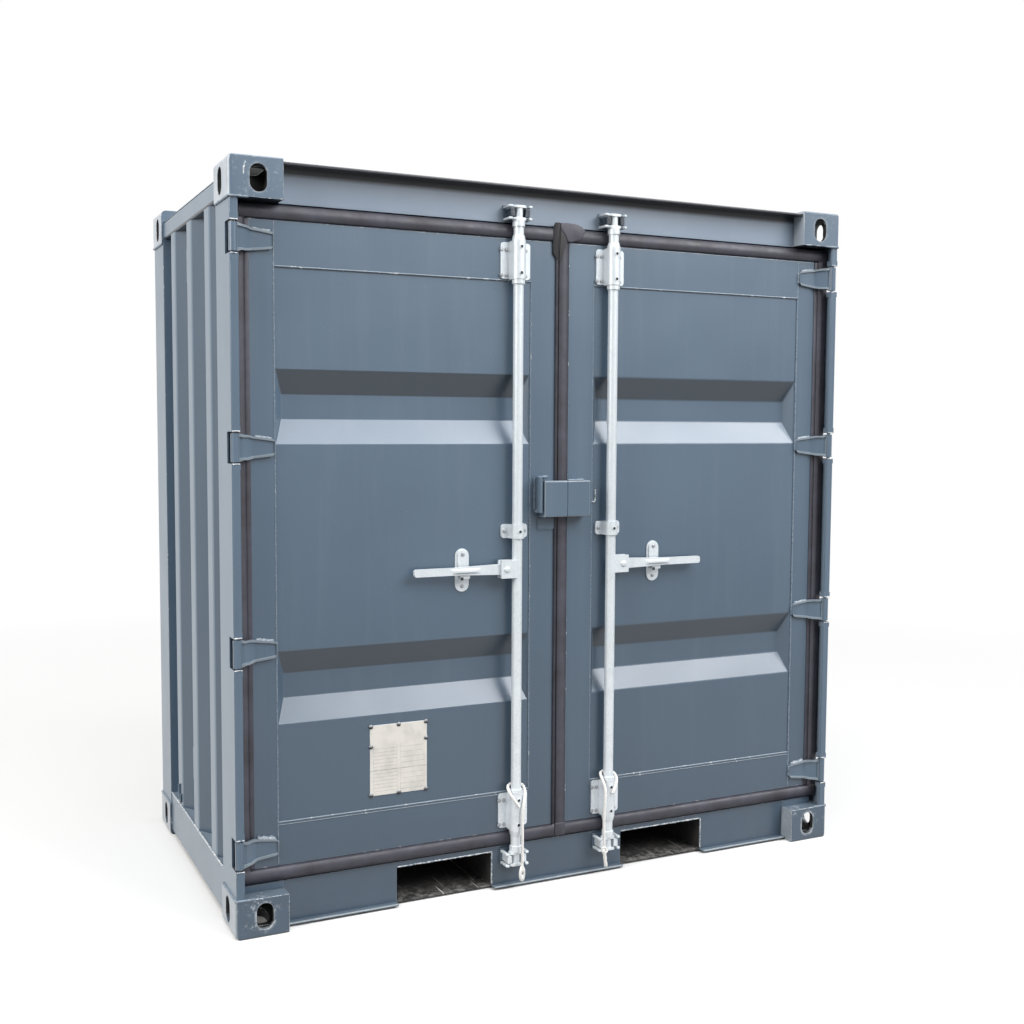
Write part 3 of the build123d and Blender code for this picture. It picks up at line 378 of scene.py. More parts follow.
# fork tunnel steel: painted near black inside as shade, with stains and scrapes by tines along the run
tunnelSteel = {
    "base": (0.015, 0.015, 0.016), "rust": (0.034, 0.031, 0.029), "scratch": (0.50, 0.49, 0.47),
    "mouth": (-0.555, -0.395, 1.0, 0.0), "floor": (0.012, 0.016, 1.0, 0.0),
    "stains": (14.0, 6.0, 0.5, 0.4, 0.7), "worn": (55.0, 6.0, 0.7, 0.44, 0.70, 0.0, 0.6),
    "scrapeRun": (130, 3.0, 40), "scrapeTurn": (0, 0, 0.22), "scrapes": (1.0, 2.0, 0.5, 0.68, 0.72),
    "rough": (30.0, 3.0, 0.5, 0.3, 0.7, 0.55, 0.85), "bumps": ((90.0, 4.0, 0.35, 0.0015),),
}


def tunnelFinish():
    finish, shader, coords = startFinish("tunnelSteel")
    colour = mixColour(mask(coords, *tunnelSteel["stains"]), tunnelSteel["base"], tunnelSteel["rust"])
    low = remap(axisValue(coords, 2), *tunnelSteel["floor"])
    scrapeCoords = stretched(coords, tunnelSteel["scrapeRun"], tunnelSteel["scrapeTurn"])
    scrapes = product(mask(scrapeCoords, *tunnelSteel["scrapes"]), low)
    colour = mixColour(scrapes, colour, tunnelSteel["scratch"])
    near = product(remap(axisValue(coords, 1), *tunnelSteel["mouth"]), low)
    colour = mixColour(product(near, mask(coords, *tunnelSteel["worn"])), colour, tunnelSteel["scratch"])
    coat(shader, coords, colour, tunnelSteel["rough"], tunnelSteel["bumps"])
    return finish


tunnelPaint = tunnelFinish()

# bright zinc on the lock gear, with a fine spangle, and painted shade that makes it duller with height
zincCoat = {
    "light": (0.775, 0.815, 0.850), "dull": (0.48, 0.53, 0.56), "metallic": 0.30,
    "spangle": 170.0, "spangleRange": (0.1, 0.7, 0.0, 0.35), "stains": (18.0, 5.0, 0.6, 0.52, 0.75),
    "paintedDullRise": (0.25, 1.3, 0.0, 0.50), "rough": (60.0, 3.0, 0.5, 0.3, 0.7, 0.36, 0.52),
    "bumps": ((320.0, 2.0, 0.12, 0.0005),),
}


def zincFinish(name, stained):
    finish, shader, coords = startFinish(name)
    spangle = newNode("ShaderNodeTexVoronoi", coords)
    plug(spangle.inputs["Scale"], zincCoat["spangle"])
    plug(spangle.inputs["Vector"], coords)
    colour = zincCoat["light"]
    for share in (
        remap(spangle.outputs["Distance"], *zincCoat["spangleRange"]),
        mask(coords, *zincCoat["stains"], 0.0, stained),
        remap(axisValue(coords, 2), *zincCoat["paintedDullRise"]),
    ):
        colour = mixColour(share, colour, zincCoat["dull"])
    coat(shader, coords, colour, zincCoat["rough"], zincCoat["bumps"], metallic=zincCoat["metallic"])
    return finish


zincGear = zincFinish("zincGear", 0.5)
zincEdge = zincFinish("zincEdge", 0.15)

# door gasket rubber: dull brown black, chalky bloom and a few scuffs of paint; a lighter copy is painted
# light on the flap, a near-black copy painted shade on the fold
gasketRubber = {
    "door": ((0.022, 0.020, 0.026), (0.082, 0.083, 0.116)), "scuff": (0.30, 0.32, 0.34),
    "flapPaintedLight": ((0.045, 0.043, 0.056), (0.125, 0.122, 0.160)),
    "fold": ((0.008, 0.007, 0.009), (0.020, 0.018, 0.022)),
    "topRun": 2.1335, "lowRun": 0.1675, "sideRun": 1.063, "middleRun": 0.0018, "half": 0.0215, "roll": 20.0,
    "bloom": (9.0, 6.0, 0.65, 0.35, 0.75, 0.05), "scuffs": (34.0, 5.0, 0.7, 0.72, 0.78, 0.0, 0.6),
    "rough": (25.0, 3.0, 0.5, 0.3, 0.7, 0.42, 0.62),
    "bumps": ((12.0, 4.0, 0.35, 0.004), (300.0, 2.0, 0.15, 0.0005)),
}


def gasketRoll(coords):  # height of the round section, from the distance to the middle of each run
    across, upward = axisValue(coords, 0), axisValue(coords, 2)
    level = calc("MINIMUM", *(away(upward, gasketRubber[run]) for run in ("topRun", "lowRun")))
    outer = away(calc("ABSOLUTE", across), gasketRubber["sideRun"])
    upright = calc("MINIMUM", outer, away(across, gasketRubber["middleRun"]))
    flat = calc("LESS_THAN", level, gasketRubber["half"])
    level = product(calc("POWER", level, 2.0), flat)
    upright = product(calc("POWER", upright, 2.0), calc("SUBTRACT", 1.0, flat))
    return product(calc("ADD", level, upright), -gasketRubber["roll"])


def rubberFinish(name, tones, worn, rolled=False):
    finish, shader, coords = startFinish(name)
    colour = mixColour(mask(coords, *gasketRubber["bloom"], worn), *gasketRubber[tones])
    colour = mixColour(mask(coords, *gasketRubber["scuffs"]), colour, gasketRubber["scuff"])
    layers = [(gasketRoll(coords), 1.0, 1.0)] if rolled else ()
    coat(shader, coords, colour, gasketRubber["rough"], gasketRubber["bumps"], layers)
    return finish


doorRubber = rubberFinish("gasketRubber", "door", 0.75, rolled=True)
lapRubber = rubberFinish("gasketLapRubber", "door", 0.75)
flapLightRubber = rubberFinish("gasketFlapPaintedLight", "flapPaintedLight", 0.85)
foldShadeRubber = rubberFinish("gasketFoldPaintedShade", "fold", 0.30)

# plywood floor
floorWood = {
    "light": (0.30, 0.17, 0.085), "dark": (0.13, 0.067, 0.033), "joint": (0.02, 0.012, 0.008),
    "sheetWidth": 0.61, "jointRange": (0.0, 0.0015, 1.0, 0.0), "grainRun": (3.0, 55.0, 55.0),
    "grain": (1.0, 6.0, 0.65), "tone": (0.3, 0.72), "rough": (0.3, 0.7, 0.45, 0.7), "bump": (0.3, 0.001),
}


def woodFinish():
    finish, shader, coords = startFinish("plywoodFloor")
    grain = noise(stretched(coords, floorWood["grainRun"]), *floorWood["grain"])
    colour = mixColour(remap(grain, *floorWood["tone"]), floorWood["dark"], floorWood["light"])
    across = calc("PINGPONG", axisValue(coords, 0), floorWood["sheetWidth"] / 2)
    colour = mixColour(remap(across, *floorWood["jointRange"]), colour, floorWood["joint"])
    coat(shader, coords, colour, remap(grain, *floorWood["rough"]), layers=[(grain, *floorWood["bump"])])
    return finish


plyWood = woodFinish()

# blank data plate: pale metal with ruled fields and no words, a little shorter than its node
plateMetal = {
    "face": (0.70, 0.675, 0.63), "worn": (0.56, 0.545, 0.51), "rule": (0.26, 0.25, 0.25), "line": 0.0008,
    "columns": ((0.06, 0.47, 0.0112), (0.53, 0.95, 0.0168)), "head": 0.27, "split": 0.60,
    "trim": 0.017, "margin": 0.012, "edge": 0.0004, "firstRow": 0.030, "metallic": 0.25,
    "stains": (28.0, 5.0, 0.5, 0.4, 0.75), "faded": (60.0, 4.0, 0.5, 0.35, 0.65, 0.25, 0.75),
    "rough": (50.0, 3.0, 0.5, 0.3, 0.7, 0.35, 0.55), "bumps": ((120.0, 3.0, 0.15, 0.0006),),
}


def plateFinish():
    low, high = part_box("data_plate")
    wide, tall, line, edge = high.x - low.x, high.z - low.z, plateMetal["line"], plateMetal["edge"]
    finish, shader, coords = startFinish("plateMetal")
    colour = mixColour(mask(coords, *plateMetal["stains"]), plateMetal["face"], plateMetal["worn"])
    across, upward = axisValue(coords, 0), axisValue(coords, 2)
    head, foot = high.z - plateMetal["head"] * tall, low.z + plateMetal["trim"] + plateMetal["margin"]
    body = product(remap(upward, head, head - edge), remap(upward, foot, foot + edge))
    marks = remap(away(upward, high.z - plateMetal["split"] * tall), line, line * 1.5, 1.0, 0.0)
    for first, last, gap in plateMetal["columns"]:
        left, right = low.x + first * wide, low.x + last * wide
        inside = product(remap(across, left - edge, left), remap(across, right, right + edge, 1.0, 0.0))
        rows = calc("PINGPONG", calc("SUBTRACT", upward, low.z + plateMetal["firstRow"]), gap / 2)
        ruled = remap(rows, line / 2, line, 1.0, 0.0)
        for border in (left, right):
            ruled = calc("MAXIMUM", ruled, remap(away(across, border), line / 2, line, 1.0, 0.0))
        marks = calc("MAXIMUM", marks, product(ruled, inside))
    faded = product(product(marks, body), mask(coords, *plateMetal["faded"]))
    colour = mixColour(faded, colour, plateMetal["rule"])
    coat(shader, coords, colour, plateMetal["rough"], plateMetal["bumps"], metallic=plateMetal["metallic"])
    return finish


blankPlate = plateFinish()

# white rope fibre
ropeFibre = {
    "light": (0.92, 0.92, 0.90), "dark": (0.76, 0.75, 0.73), "fibres": (420.0, 4.0, 0.5, 0.35, 0.7),
    "rough": (300.0, 3.0, 0.5, 0.3, 0.7, 0.7, 0.95), "bumps": ((900.0, 3.0, 0.4, 0.0006),), "sheen": 0.25,
}


def ropeFinish():
    finish, shader, coords = startFinish("ropeFibre")
    colour = mixColour(mask(coords, *ropeFibre["fibres"]), ropeFibre["dark"], ropeFibre["light"])
    coat(shader, coords, colour, ropeFibre["rough"], ropeFibre["bumps"])
    shader.inputs["Sheen Weight"].default_value = ropeFibre["sheen"]
    return finish


whiteFibre = ropeFinish()

# weld metal left rough and painted over
weldMetal = {
    "bright": (0.78, 0.80, 0.81), "patches": (120.0, 5.0, 0.7, 0.38, 0.62, 0.0), "rough": 0.45,
    "bumps": ((260.0, 3.0, 0.5, 0.0012),),
}


def weldFinish(name, pale, bare):
    finish, shader, coords = startFinish(name)
    colour = mixColour(mask(coords, *weldMetal["patches"], pale), slatePaint["pale"], bare)
    coat(shader, coords, colour, weldMetal["rough"], weldMetal["bumps"])
    return finish


seamWeld = weldFinish("seamWeld", 0.30, slatePaint["chip"])
lumpWeld = weldFinish("lumpWeld", 0.7, slatePaint["chip"])
paleWeld = weldFinish("paleWeld", 1.0, weldMetal["bright"])

# small steel: upper keeper lugs painted near black as shade with rubbed patches, painted shade in holes,
# bolts, and rivets with painted shade under the heads
smallSteel = {
    "keeperPaintedShade": {
        "tones": ((0.012, 0.017, 0.027), (0.080, 0.105, 0.140)), "rubbed": (55.0, 5.0, 0.7, 0.50, 0.66),
        "rough": 0.35, "metallic": 0.0,
    },
    "holeShade": {
        "tones": ((0.010, 0.011, 0.013), (0.035, 0.035, 0.036)), "grain": 90.0, "rough": 0.8, "metallic": 0.0,
    },
    "boltSteel": {
        "tones": ((0.22, 0.23, 0.25), (0.44, 0.46, 0.48)), "grain": 160.0, "rough": 0.38, "metallic": 0.5,
    },
    "rivetSteel": {
        "tones": ((0.20, 0.21, 0.22), (0.34, 0.35, 0.36)), "grain": 300.0, "rough": 0.4, "metallic": 0.4,
        "rivetUnderShade": (0.010, 0.011, 0.013), "rivetShadeFacing": (0.25, -0.20),
    },
}


def steelFinish(name):
    looks = smallSteel[name]
    finish, shader, coords = startFinish(name)
    share = mask(coords, *looks["rubbed"]) if "rubbed" in looks else noise(coords, looks["grain"])
    colour = mixColour(share, *looks["tones"])
    # darker on faces that turn down: painted shade under the heads
    if "rivetUnderShade" in looks:
        colour = mixColour(remap(normalAxis(coords, 2), *looks["rivetShadeFacing"]), colour, looks["rivetUnderShade"])
    coat(shader, coords, colour, looks["rough"], metallic=looks["metallic"])
    return finish


keeperPaintedShade, darkHole, boltSteel, rivetSteel = (steelFinish(name) for name in smallSteel)
print("finishes made")

# places on the door end, in metres: depth is measured back from the front plane
doorEnd = {
    "front": -0.6095, "face": 0.052, "panel": 0.055, "low": 0.189, "top": 2.112,
    "panelLow": 0.322, "panelTop": 1.979, "hingeStile": 0.957, "lockStile": 0.116,
    "hinges": (0.2505, 0.8505, 1.4505, 2.0505), "guides": (0.2605, 2.0405), "strap": 1.1785,
    "rod": 0.174, "handle": 1.0585, "catch": 0.356, "hub": 0.216,
}
sides = (("left", -1), ("right", 1))
nodeTrees = {}


def deep(depth):
    return doorEnd["front"] + depth


def frontOf(node, x, z):  # where a part's own face lies at this place
    if node not in nodeTrees:
        mesh = nodes[node].data
        corners = [vertex.co for vertex in mesh.vertices]
        nodeTrees[node] = BVHTree.FromPolygons(corners, [tuple(face.vertices) for face in mesh.polygons])
    return nodeTrees[node].ray_cast((x, -2.0, z), (0, 1, 0))[0].y


def rideOn(pieces, name, body):
    piece = joinPieces(pieces, name)
    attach(piece, body)
    return piece


# rounded copies: a node's own mesh, merged, with its outer edges rounded and its folds softened
roundedEdge = {"merge": 0.00001, "flat": 0.5, "fold": (15, 75), "corner": 40, "smooth": 32}


def roundedCopy(node, width, finish, edgeFinish, segments=2, folds=False, shape=None):
    piece = linkMesh(node + "Rounded", nodes[node].data.copy())
    setFinish(piece, finish, edgeFinish)
    pickOnly(piece)
    bpy.ops.mesh.customdata_custom_splitnormals_clear()
    bpy.ops.object.mode_set(mode="EDIT")
    bpy.ops.mesh.select_all(action="SELECT")
    bpy.ops.mesh.remove_doubles(threshold=roundedEdge["merge"])
    bpy.ops.mesh.dissolve_limited(angle_limit=math.radians(roundedEdge["flat"]))
    paintFaces(piece, 0, lambda face: True)
    if shape:
        shape(piece)
    bpy.ops.mesh.select_all(action="DESELECT")
    bpy.ops.mesh.select_mode(type="EDGE")
    draft = bmesh.from_edit_mesh(piece.data)
    least, most = roundedEdge["fold"]
    for edge in draft.edges:
        if len(edge.link_faces) == 2:
            bend = math.degrees(edge.calc_face_angle_signed(0.0))
            edge.select_set(least < abs(bend) < most if folds else bend > roundedEdge["corner"])
    bmesh.update_edit_mesh(piece.data)
    bpy.ops.mesh.bevel(
        offset=width, segments=segments, affect="EDGES", clamp_overlap=True, material=-1 if folds else 1,
    )
    bpy.ops.mesh.select_all(action="DESELECT")
    bpy.ops.object.mode_set(mode="OBJECT")
    bpy.ops.object.shade_smooth_by_angle(angle=math.radians(roundedEdge["smooth"]))
    even = piece.modifiers.new("evenFaces", "WEIGHTED_NORMAL")  # flat faces stay flat beside a rounded edge
    even.mode = "FACE_AREA"
    even.keep_sharp = True
    applyModifiers(piece)
    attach(piece, bodyOf[node])
    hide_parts(node)
    return piece


hingeRim = {
    "pinX": 1.0825, "width": 0.0066, "depth": 0.0050, "tip": 0.9905, "longer": 0.020, "slim": 0.88,
    "ends": 0.0060, "bladeTip": 0.120, "bladeRoot": 0.011, "clear": 0.003, "facing": -0.6, "slip": 0.0015,
    "slope": 0.0008,
}
hingeNotch = {"x": 1.06, "front": -0.6015, "back": -0.5645, "half": 0.047}
boxChamfer = (0.3, 0.95)
plateFoot = 0.004


def rimHinge(piece):  # the blade is slim, reaches further over the stile, and has a rim at top and foot whose faces take a painted highlight
    sign = 1 if piece.data.vertices[0].co.x > 0 else -1
    pickPoints(piece, lambda place: abs(place.x) < hingeRim["tip"])
    bpy.ops.transform.translate(value=(-sign * hingeRim["longer"], 0, 0))
    outer, inner = hingeRim["pinX"] - hingeRim["bladeTip"], hingeRim["pinX"] - hingeRim["bladeRoot"]
    draft = bmesh.from_edit_mesh(piece.data)
    for point in draft.verts:
        if abs(point.co.x) < inner - hingeRim["clear"]:
            middle = min(doorEnd["hinges"], key=lambda level: abs(level - point.co.z))
            point.co.z = middle + (point.co.z - middle) * hingeRim["slim"]
    bmesh.update_edit_mesh(piece.data)
    pickFaces(piece, lambda place, normal: normal.y < hingeRim["facing"] and outer < abs(place.x) < inner)
    paintFaces(piece, 1, lambda face: face.select)
    bpy.ops.mesh.inset(thickness=hingeRim["width"])
    draft = bmesh.from_edit_mesh(piece.data)
    ring = {point for face in draft.faces if face.select for point in face.verts}
    near, far = min(abs(point.co.x) for point in ring), max(abs(point.co.x) for point in ring)
    for point in ring:
        reach = abs(point.co.x)
        if reach < near + hingeRim["slip"]:
            point.co.x -= sign * hingeRim["ends"]
        elif reach > far - hingeRim["slip"]:
            point.co.x += sign * hingeRim["ends"]
    bmesh.update_edit_mesh(piece.data)
    bpy.ops.mesh.inset(thickness=hingeRim["slope"], depth=-hingeRim["depth"])
    paintFaces(piece, 0, lambda face: face.select)


def inNotch(face):
    middle = face.calc_center_median()
    beside = min(abs(middle.z - level) for level in doorEnd["hinges"])
    between = hingeNotch["front"] < middle.y < hingeNotch["back"]
    return abs(middle.x) > hingeNotch["x"] and between and beside < hingeNotch["half"]


def darkenNotches(piece):  # the insides of the hinge notches take painted shade
    paintFaces(piece, 2, inNotch)


def highlightChamfers(piece):  # slanted faces of the lock box take a painted highlight
    paintFaces(piece, 1, lambda face: boxChamfer[0] < abs(face.normal.y) < boxChamfer[1])


def trimPlate(piece):
    lowest = min(vertex.co.z for vertex in nodes["data_plate"].data.vertices)
    pickPoints(piece, lambda place: place.z < lowest + plateFoot)
    bpy.ops.transform.translate(value=(0, 0, plateMetal["trim"]))


# the castings keep their round corner and long edge, and get a tight one at the front; their hollows are
# painted dark as shade
castingEdges = {
    "x": 1.084, "y": 0.5935, "top": 2.264, "foot": 0.016, "radius": 0.016, "tight": 0.005, "slip": 0.00001,
}
castingBox = {"spans": ((0.938, 1.100), (0.4315, 0.6095), (0.0, 0.118)), "height": 2.280, "hollow": 0.0072}


def inHollow(face):
    middle = face.calc_center_median()
    spots = (abs(middle.x), abs(middle.y), min(middle.z, castingBox["height"] - middle.z))
    walls = (min(spot - low, high - spot) for spot, (low, high) in zip(spots, castingBox["spans"]))
    return min(walls) > castingBox["hollow"]


def tightenCasting(piece):
    slip = castingEdges["slip"]
    paintFaces(piece, 2, inHollow)
    draft = bmesh.from_edit_mesh(piece.data)
    for point in draft.verts:
        place = point.co
        high = place.z > 1
        across, back = abs(place.x) - castingEdges["x"], abs(place.y) - castingEdges["y"]
        upward = place.z - castingEdges["top"] if high else castingEdges["foot"] - place.z
        if back < -slip or max(across, upward) < -slip:
            continue
        way = Vector((max(across, 0.0), max(upward, 0.0)))
        if across < -slip:
            way = Vector((0.0, 1.0))
        elif upward < -slip:
            way = Vector((1.0, 0.0))
        else:
            way = way.normalized() if way.length > slip else Vector((0.7071, 0.7071))
        radius = castingEdges["radius"] - (castingEdges["radius"] - castingEdges["tight"]) * way.y ** 2
        shift, share = castingEdges["radius"] - radius, radius / castingEdges["radius"]
        if across >= -slip:
            place.x = math.copysign(castingEdges["x"] + shift * way.x + share * max(across, 0.0), place.x)
        if upward >= -slip:
            rise = shift * way.y + share * max(upward, 0.0)
            place.z = castingEdges["top"] + rise if high else castingEdges["foot"] - rise
        place.y = math.copysign(castingEdges["y"] + shift + share * max(back, 0.0), place.y)
    bmesh.update_edit_mesh(piece.data)


# the door rails reach 9 mm further over the panel, and the toe flange of the sill is shorter
doorTrim = {"opening": (0.313, 1.988), "inner": 0.115, "outer": 0.958, "reach": 0.009, "slip": 0.0002}
sillTrim = {"toe": -0.5835, "back": 0.012, "slip": 0.0002}


def onRail(place, level):
    return abs(place.z - level) < doorTrim["slip"] and doorTrim["inner"] < abs(place.x) < doorTrim["outer"]


def widenRails(piece):
    for level, step in zip(doorTrim["opening"], (1, -1)):
        pickPoints(piece, lambda place: onRail(place, level))
        bpy.ops.transform.translate(value=(0, 0, step * doorTrim["reach"]))


def trimToe(piece):
    pickPoints(piece, lambda place: abs(place.y - sillTrim["toe"]) < sillTrim["slip"])
    bpy.ops.transform.translate(value=(0, sillTrim["back"], 0))


# edge radius of each rounded node, and the finishes and shapes that differ from plain body paint
roundedSteel = {
    "front_top_castings": 0.0035, "rear_top_castings": 0.0035,
    "front_bottom_castings": 0.0035, "rear_bottom_castings": 0.0035,
    "left_front_post": 0.0016, "right_front_post": 0.0016, "rear_posts": 0.0022,
    "bottom_side_rails": 0.0016, "door_header": 0.0024, "door_sill": 0.0020, "rear_bottom_rail": 0.0016,
    "cross_members": 0.0015, "cam_keepers": 0.0060, "side_vents": 0.002,
    "left_door_frame": 0.003, "right_door_frame": 0.003,
    "left_lock_box": 0.0026, "right_lock_box": 0.0026,
}
foldedSheets = {
    "left_side_wall": 0.010, "right_side_wall": 0.010, "rear_wall": 0.010, "roof": 0.006,
    "left_door_panel": 0.006, "right_door_panel": 0.006,
}
roundedGear = {"lock_rod": 0.0012, "rod_guides": 0.0015, "handle": 0.0025, "handle_catch": 0.0015}
smallRounding = {"hinges": 0.0022, "gasket": 0.009, "plate": 0.0009, "pockets": 0.0012}
faceOf = {
    "door_header": headerPaint, "door_sill": doorPaint,
    "left_door_frame": doorPaint, "right_door_frame": doorPaint,
}
edgeOf = {"door_header": headerPaint, "left_lock_box": boxEdgeHighlight, "right_lock_box": boxEdgeHighlight}
shapeOf = {
    "left_door_frame": widenRails, "right_door_frame": widenRails, "door_sill": trimToe,
    "left_front_post": darkenNotches, "right_front_post": darkenNotches,
    "left_lock_box": highlightChamfers, "right_lock_box": highlightChamfers,
}
lugFront = -0.5625


def colourKeepers(keepers):  # the lugs of the lower keepers are zinc like the cams, the upper ones are painted near black as shade
    keepers.data.materials.append(zincGear)
    keepers.data.materials.append(keeperPaintedShade)
    for face in keepers.data.polygons:
        if face.center.y < lugFront:
            face.material_index = 2 if face.center.z < 1 else 3


for node, width in roundedSteel.items():
    if "castings" in node:
        steel = roundedCopy(node, width, castingPaint, castingEdge, shape=tightenCasting)
    else:
        looks = faceOf.get(node, bodyPaint), edgeOf.get(node, edgeWearAndHighlight)
        steel = roundedCopy(node, width, *looks, shape=shapeOf.get(node))
    # castings and posts take a dark finish: painted shade in their hollows and notches
    if "castings" in node or "post" in node:
        steel.data.materials.append(darkHole)
    if node == "cam_keepers":
        colourKeepers(steel)
for side, sign in sides:
    roundedCopy(side + "_door_hinges", smallRounding["hinges"], bodyPaint, hingeEdgeHighlight, shape=rimHinge)
for node, width in foldedSheets.items():
    face = doorPaint if "door" in node else bodyPaint
    roundedCopy(node, width, face, face, 3, folds=True)
for gear, width in roundedGear.items():
    for side, sign in sides:
        roundedCopy(side + "_" + gear, width, zincGear, zincEdge)
for side, sign in sides:
    roundedCopy(side + "_door_gasket", smallRounding["gasket"], doorRubber, doorRubber, 4)
roundedCopy("data_plate", smallRounding["plate"], blankPlate, zincEdge, shape=trimPlate)
roundedCopy("fork_pockets", smallRounding["pockets"], tunnelPaint, tunnelPaint)
for node in ("hinge_pins", "top_side_rails", "rear_top_rail", "tie_back_hooks"):
    setFinish(nodes[node], bodyPaint)
setFinish(nodes["plywood_floor"], plyWood)
print("rounded copies made")

# fixings: each kind is modelled once, facing the front, and copied
# a bolt's head and washer: corners, radius, height, width and rise of the rim
hexBolt = {"head": (6, 0.0046, 0.0036, 0.0012, 0.0007), "washer": (20, 0.0064, 0.0012, 0.0010, 0.0004)}
domeRivet = {
    "corners": 16, "radius": 0.0070, "high": 0.0036, "baseShare": 0.4,
    "domeShares": ((0.22, 0.38), (0.30, 0.22)),
}
plainHole = {"corners": 20, "radius": 0.0060, "rim": 0.0010, "high": 0.0018, "sink": 0.0008, "front": -0.0005}


def startRound(corners, radius, high):
    bpy.ops.object.select_all(action="DESELECT")
    bpy.ops.mesh.primitive_cylinder_add(vertices=corners, radius=radius, depth=high * 2, location=(0, 0, 0))
    bpy.ops.object.mode_set(mode="EDIT")
    pickFaces(bpy.context.object, lambda place, normal: normal.z > 0.9)
    return bpy.context.object


def faceFront(piece, name):
    bpy.ops.object.mode_set(mode="OBJECT")
    piece.data.transform(Matrix.Rotation(math.pi / 2, 4, "X"))
    piece.name = name


def insetTop(rim, rise):
    bpy.ops.mesh.inset(thickness=rim)
    bpy.ops.transform.translate(value=(0, 0, rise))


def makeBolt():
    parts = []
    for corners, radius, high, rim, rise in (hexBolt["head"], hexBolt["washer"]):
        parts.append(startRound(corners, radius, high))
        insetTop(rim, rise)
        bpy.ops.object.mode_set(mode="OBJECT")
    bolt = joinPieces(parts, "boltMaster")
    faceFront(bolt, "boltMaster")
    setFinish(bolt, boltSteel)
    return bolt


def makeRivet():
    rivet = startRound(domeRivet["corners"], domeRivet["radius"], domeRivet["high"] * domeRivet["baseShare"])
    for share, rise in domeRivet["domeShares"]:
        insetTop(domeRivet["radius"] * share, domeRivet["high"] * rise)
    faceFront(rivet, "rivetMaster")
    pickOnly(rivet)
    bpy.ops.object.shade_smooth()
    return rivet


def makeHole():
    hole = startRound(plainHole["corners"], plainHole["radius"], plainHole["high"])
    bpy.ops.mesh.inset(thickness=plainHole["rim"])
    bpy.ops.mesh.extrude_region_move(TRANSFORM_OT_translate={"value": (0, 0, -plainHole["sink"])})
    faceFront(hole, "holeMaster")
    setFinish(hole, zincGear, darkHole)
    # the sunk middle is painted dark: painted shade in the hole
    inner = plainHole["radius"] - plainHole["rim"] * 1.2
    for face in hole.data.polygons:
        spot = face.center
        sunk = math.hypot(spot.x, spot.z) < inner and spot.y < plainHole["front"]
        face.material_index = 1 if sunk else 0
    return hole


boltMaster, rivetMaster, holeMaster = makeBolt(), makeRivet(), makeHole()
guideFixings = {
    "bolts": (-0.050, -0.033, 0.036), "rows": 0.040, "drop": 0.006, "holeRows": 0.041,
    "strapBolts": (-0.036, 0.036), "catchBolts": (0.051, -0.051), "hubScale": (1.5, 1.3, 1.5, 1.0),
}


def fixOn(master, node, x, z, name):
    return copyTo(master, Matrix.Translation((x, frontOf(node, x, z), z)), name)


def fixGuides(side, sign):
    node, rod, parts = side + "_rod_guides", sign * doorEnd["rod"], []
    for middle in doorEnd["guides"]:
        for row in (-1, 1):
            z = middle + row * guideFixings["rows"] - guideFixings["drop"]
            for offset in guideFixings["bolts"]:
                parts.append(fixOn(boltMaster, node, rod + offset, z, "guideBolt"))
            parts.append(fixOn(holeMaster, node, rod, middle + row * guideFixings["holeRows"], "guideHole"))
    parts.append(fixOn(holeMaster, node, rod, doorEnd["strap"], "strapFixing"))
    for offset in guideFixings["strapBolts"]:
        parts.append(fixOn(boltMaster, node, rod + offset, doorEnd["strap"], "strapFixing"))
    for rise in guideFixings["catchBolts"]:
        x, z = sign * doorEnd["catch"], doorEnd["handle"] + rise
        parts.append(fixOn(boltMaster, side + "_handle_catch", x, z, "catchBolt"))
    rideOn(parts, side + "GearBolts", side + "_door")
    x, z = sign * doorEnd["hub"], doorEnd["handle"]
    hub = copyTo(rivetMaster, Matrix.Diagonal(guideFixings["hubScale"]), "hubRivet")
    hub.data.transform(Matrix.Translation((x, frontOf(side + "_lock_rod", x, z), z)))
    setFinish(hub, zincGear)
    rideOn([hub], side + "HubRivet", side + "_rod")


for side, sign in sides:
    fixGuides(side, sign)

# data plate rivets: the corners, the middle of the short sides and one on each long side
plateRivets = {"inset": 0.0035, "leftShare": 0.70, "rightShare": 0.75}


def rivetPlate():
    low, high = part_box("data_plate")
    low.z += plateMetal["trim"]
    gap, parts, tall = plateRivets["inset"], [], high.z - low.z
    columns = (low.x + gap, (low.x + high.x) / 2, high.x - gap)
    spots = [(x, z) for x in columns for z in (low.z + gap, high.z - gap)]
    spots.append((low.x + gap, low.z + tall * plateRivets["leftShare"]))
    spots.append((high.x - gap, low.z + tall * plateRivets["rightShare"]))
    for x, z in spots:
        parts.append(copyTo(rivetMaster, Matrix.Translation((x, low.y, z)), "plateRivet"))
    rivets = rideOn(parts, "dataPlateRivets", "left_door")
    setFinish(rivets, rivetSteel)


rivetPlate()
for master in (boltMaster, rivetMaster, holeMaster):
    bpy.data.objects.remove(master)
print("fixings made")

# weld runs: a ring drawn out in short steps and roughened; a run is radius, ripple and finish
weldRun = {"corners": 8, "step": 0.006, "grain": 0.009, "leastSteps": 4}
weldRipple = bpy.data.textures.new("weldRipple", "CLOUDS")
weldRipple.noise_scale = weldRun["grain"]
weldRipple.noise_depth = 2


